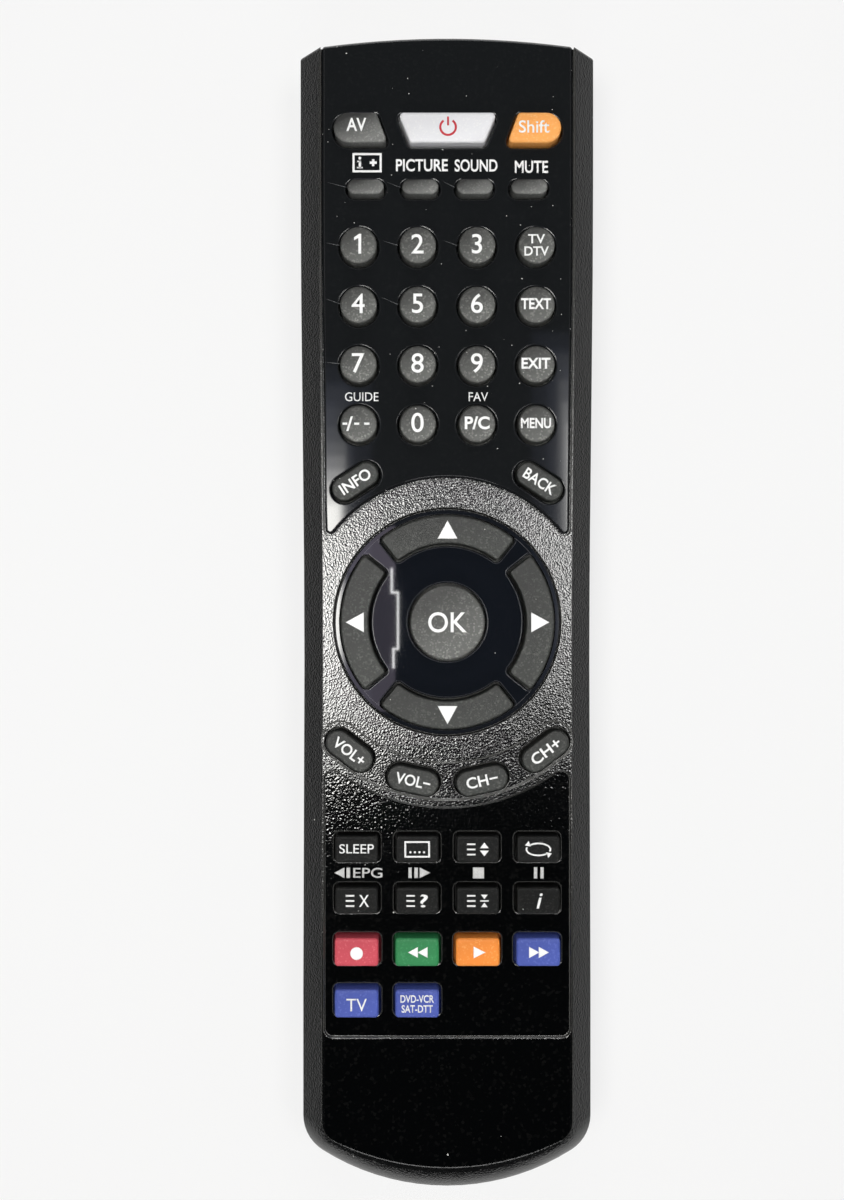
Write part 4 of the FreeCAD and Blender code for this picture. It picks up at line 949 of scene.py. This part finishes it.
# %% [markdown]
# ## Studio
#
# The portrait is taken from straight above, from about two hand widths away,
# so keys near the ends show their sides. The floor is plain and white. What
# is black and glossy shows only what hangs above it, so the lamps are shaped
# by the reflections of the real portrait and not by the light they give. A
# soft box on each side of the camera lies in the textured band and in the
# lower horns of the panel. Each fades out towards the head end, and a bluish
# haze lies round it. A window of three panes with a bright jogged edge lies
# in the bezel. One large lamp with a pattern could do all this, but plain
# lamps are easy to move. Those that overlap hang a little apart in height, as
# lamps in one plane hide each other. Four wide low lamps fill the colours.

# %% Camera
camera_data = bpy.data.cameras.new("portrait camera")
camera = bpy.data.objects.new("portrait camera", camera_data)
bpy.context.scene.collection.objects.link(camera)
bpy.context.scene.camera = camera
CAMERA_X = -4.48
CAMERA_Y = 2.91
CAMERA_ABOVE_TOP = 210.0
camera.location = Vector((CAMERA_X, CAMERA_Y, plateau + CAMERA_ABOVE_TOP)) * MM
camera_data.sensor_width = 36.0
camera_data.lens = 35.55
camera_data.clip_start = 0.01
print("camera height in mm", round(camera.location.z / MM, 1))


# %% Floor
FLOOR_GLOW = 0.8
MIRRORED_SHARE = 0.35
FLOOR_REACH = 3.0
FLOOR_DROP = 0.0002


def floor_material():
    """White paper that glows to the camera, so it stays clean, and less in mirror images."""
    material, tree, shader = new_material("white floor")
    shader.inputs["Base Color"].default_value = (0.9, 0.9, 0.9, 1.0)
    shader.inputs["Roughness"].default_value = 0.9
    glow = add(tree, "ShaderNodeEmission", {"Color": (0.93, 0.93, 0.93, 1.0), "Strength": 1.0})
    rays = add(tree, "ShaderNodeLightPath")
    mirrored = calculate(tree, "MULTIPLY", rays.outputs["Is Glossy Ray"], MIRRORED_SHARE)
    seen = calculate(tree, "MAXIMUM", rays.outputs["Is Camera Ray"], mirrored)
    seen = calculate(tree, "MAXIMUM", seen, rays.outputs["Is Transmission Ray"])
    blend = add(tree, "ShaderNodeMixShader")
    tree.links.new(calculate(tree, "MULTIPLY", seen, FLOOR_GLOW), blend.inputs[0])
    tree.links.new(shader.outputs[0], blend.inputs[1])
    tree.links.new(glow.outputs[0], blend.inputs[2])
    tree.links.new(blend.outputs[0], tree.nodes["Material Output"].inputs["Surface"])
    return material


floor_mesh = bpy.data.meshes.new("floor")
floor_mesh.from_pydata([(x * FLOOR_REACH, y * FLOOR_REACH, -FLOOR_DROP)
                        for x, y in ((-1, -1), (1, -1), (1, 1), (-1, 1))], [], [(0, 1, 2, 3)])
floor_mesh.materials.append(floor_material())
floor = bpy.data.objects.new("floor", floor_mesh)
bpy.context.scene.collection.objects.link(floor)
print("floor side in metres", 2 * FLOOR_REACH)


# %% Lamps
def soft_box(name, place, target, width, depth, radiance, colour=(1.0, 1.0, 1.0)):
    """A rectangular lamp; its power follows from its area and how bright it looks."""
    lamp = bpy.data.lights.new(name, "AREA")
    lamp.color = colour
    lamp.shape = "RECTANGLE"
    lamp.size = width
    lamp.size_y = depth
    lamp.energy = radiance * math.pi * width * depth
    box = bpy.data.objects.new(name, lamp)
    bpy.context.scene.collection.objects.link(box)
    box.location = place
    box.rotation_mode = "QUATERNION"
    box.rotation_quaternion = (Vector(target) - Vector(place)).to_track_quat("-Z", "Y")
    return box


BOX_HEIGHT = 0.52
LAYER_GAP = 0.002


def box_above(name, left, right, near, far, radiance, lift=0.0, colour=(1.0, 1.0, 1.0)):
    """A soft box facing straight down, between two sides and two ends."""
    x, y = (left + right) / 2, (near + far) / 2
    return soft_box(name, (x, y, BOX_HEIGHT + lift), (x, y, 0.0), right - left, far - near,
                    radiance, colour)


def soft_edged_box(name, sides, ends, radiance, feather, lift, colour, layers=4):
    """Soft boxes one above the other, each smaller, so that the edge fades out in steps."""
    for layer in range(layers):
        trim = feather * layer / layers
        box_above("%s %d" % (name, layer + 1), sides[0] + trim, sides[1] - trim,
                  ends[0] + trim, ends[1] - trim, radiance / layers, lift + LAYER_GAP * layer,
                  colour)


def graded_box(name, sides, near, steps, colour):
    """Strips from one near end; each step is its far end, its inset and its radiance."""
    for index, (far, inset, radiance) in enumerate(steps):
        box_above("%s %d" % (name, index + 1), sides[0] + inset, sides[1] - inset,
                  near + inset, far, radiance, LAYER_GAP * index, colour)


# %% Soft boxes and their haze
DAYLIGHT = (1.0, 0.992, 0.955)
BLUE_HAZE = (0.78, 0.86, 1.2)
HAZE_LIFT = 0.03
graded_box("left soft box", (-0.2, -0.049), -0.088,
           ((0.13, 0.0, 0.2), (0.118, 0.0005, 0.3), (0.107, 0.001, 0.5), (0.098, 0.0015, 0.9),
            (0.09, 0.002, 1.8), (0.082, 0.003, 3.0), (0.075, 0.004, 4.5), (0.068, 0.005, 5.5),
            (0.061, 0.006, 6.5)), DAYLIGHT)
soft_edged_box("left halo", (-0.2, -0.036), (-0.07, 0.15), 0.9, 0.045, HAZE_LIFT, BLUE_HAZE)
graded_box("right soft box", (0.076, 0.21), -0.048,
           ((0.15, 0.0, 0.4), (0.135, 0.002, 0.8), (0.122, 0.004, 1.8), (0.11, 0.007, 4.0),
            (0.098, 0.01, 7.5)), DAYLIGHT)
soft_edged_box("right halo", (0.064, 0.21), (-0.05, 0.17), 0.8, 0.04, HAZE_LIFT, BLUE_HAZE)

# %% The window in the bezel
PANE_LIFT = 0.045
PANE_COLOUR = (1.0, 0.88, 1.12)
EDGE_HALF = 0.0006
EDGE_RADIANCE = 22.0
for index, (near, far, radiance) in enumerate((
        (-0.038, 0.021, 0.65), (0.021, 0.05, 1.5), (-0.068, -0.038, 1.2))):
    box_above("window pane %d" % (index + 1), -0.062, -0.0215, near, far, radiance, PANE_LIFT,
              PANE_COLOUR)
for index, (side, near, far) in enumerate((
        (-0.0189, -0.027, 0.008), (-0.0226, 0.008, 0.022), (-0.0216, -0.038, -0.027))):
    box_above("window edge %d" % (index + 1), side - EDGE_HALF, side + EDGE_HALF, near, far,
              EDGE_RADIANCE)
for index, (left, right, level) in enumerate((
        (-0.0232, -0.0195, 0.0074), (-0.0222, -0.0195, -0.0264))):
    box_above("window corner %d" % (index + 1), left, right, level - EDGE_HALF,
              level + EDGE_HALF, EDGE_RADIANCE)

# %% Fill lamps
FILL_DISTANCE = 0.75
FILL_HEIGHT = 0.5
for name, across, along, radiance in (("right fill", 1, 0, 1.2), ("left fill", -1, 0, 0.6),
                                      ("head fill", 0, 1, 3.5), ("tail fill", 0, -1, 3.6)):
    soft_box(name, (across * FILL_DISTANCE, along * FILL_DISTANCE, FILL_HEIGHT), (0, 0, 0),
             0.45, 0.35, radiance)
print("lamps", len(bpy.data.lights))

# %% Backdrop: a dim room, darkest overhead, that the camera itself sees as pale paper
BACKDROP = 0.86
world = bpy.data.worlds.new("studio")
bpy.context.scene.world = world
world.use_nodes = True
room = world.node_tree
sky = room.nodes["Background"]
sky.inputs["Color"].default_value = (0.98, 0.99, 1.0, 1.0)
fade = add(room, "ShaderNodeMapRange",
           {"From Min": 0.0, "From Max": 0.35, "To Min": 0.08, "To Max": 0.01})
room.links.new(axes(room, "Generated")["Z"], fade.inputs["Value"])
rays = add(room, "ShaderNodeLightPath")
shown = calculate(room, "MULTIPLY", rays.outputs["Is Camera Ray"], BACKDROP)
room.links.new(calculate(room, "MAXIMUM", fade.outputs["Result"], shown), sky.inputs["Strength"])
bpy.context.scene.view_settings.view_transform = "Standard"
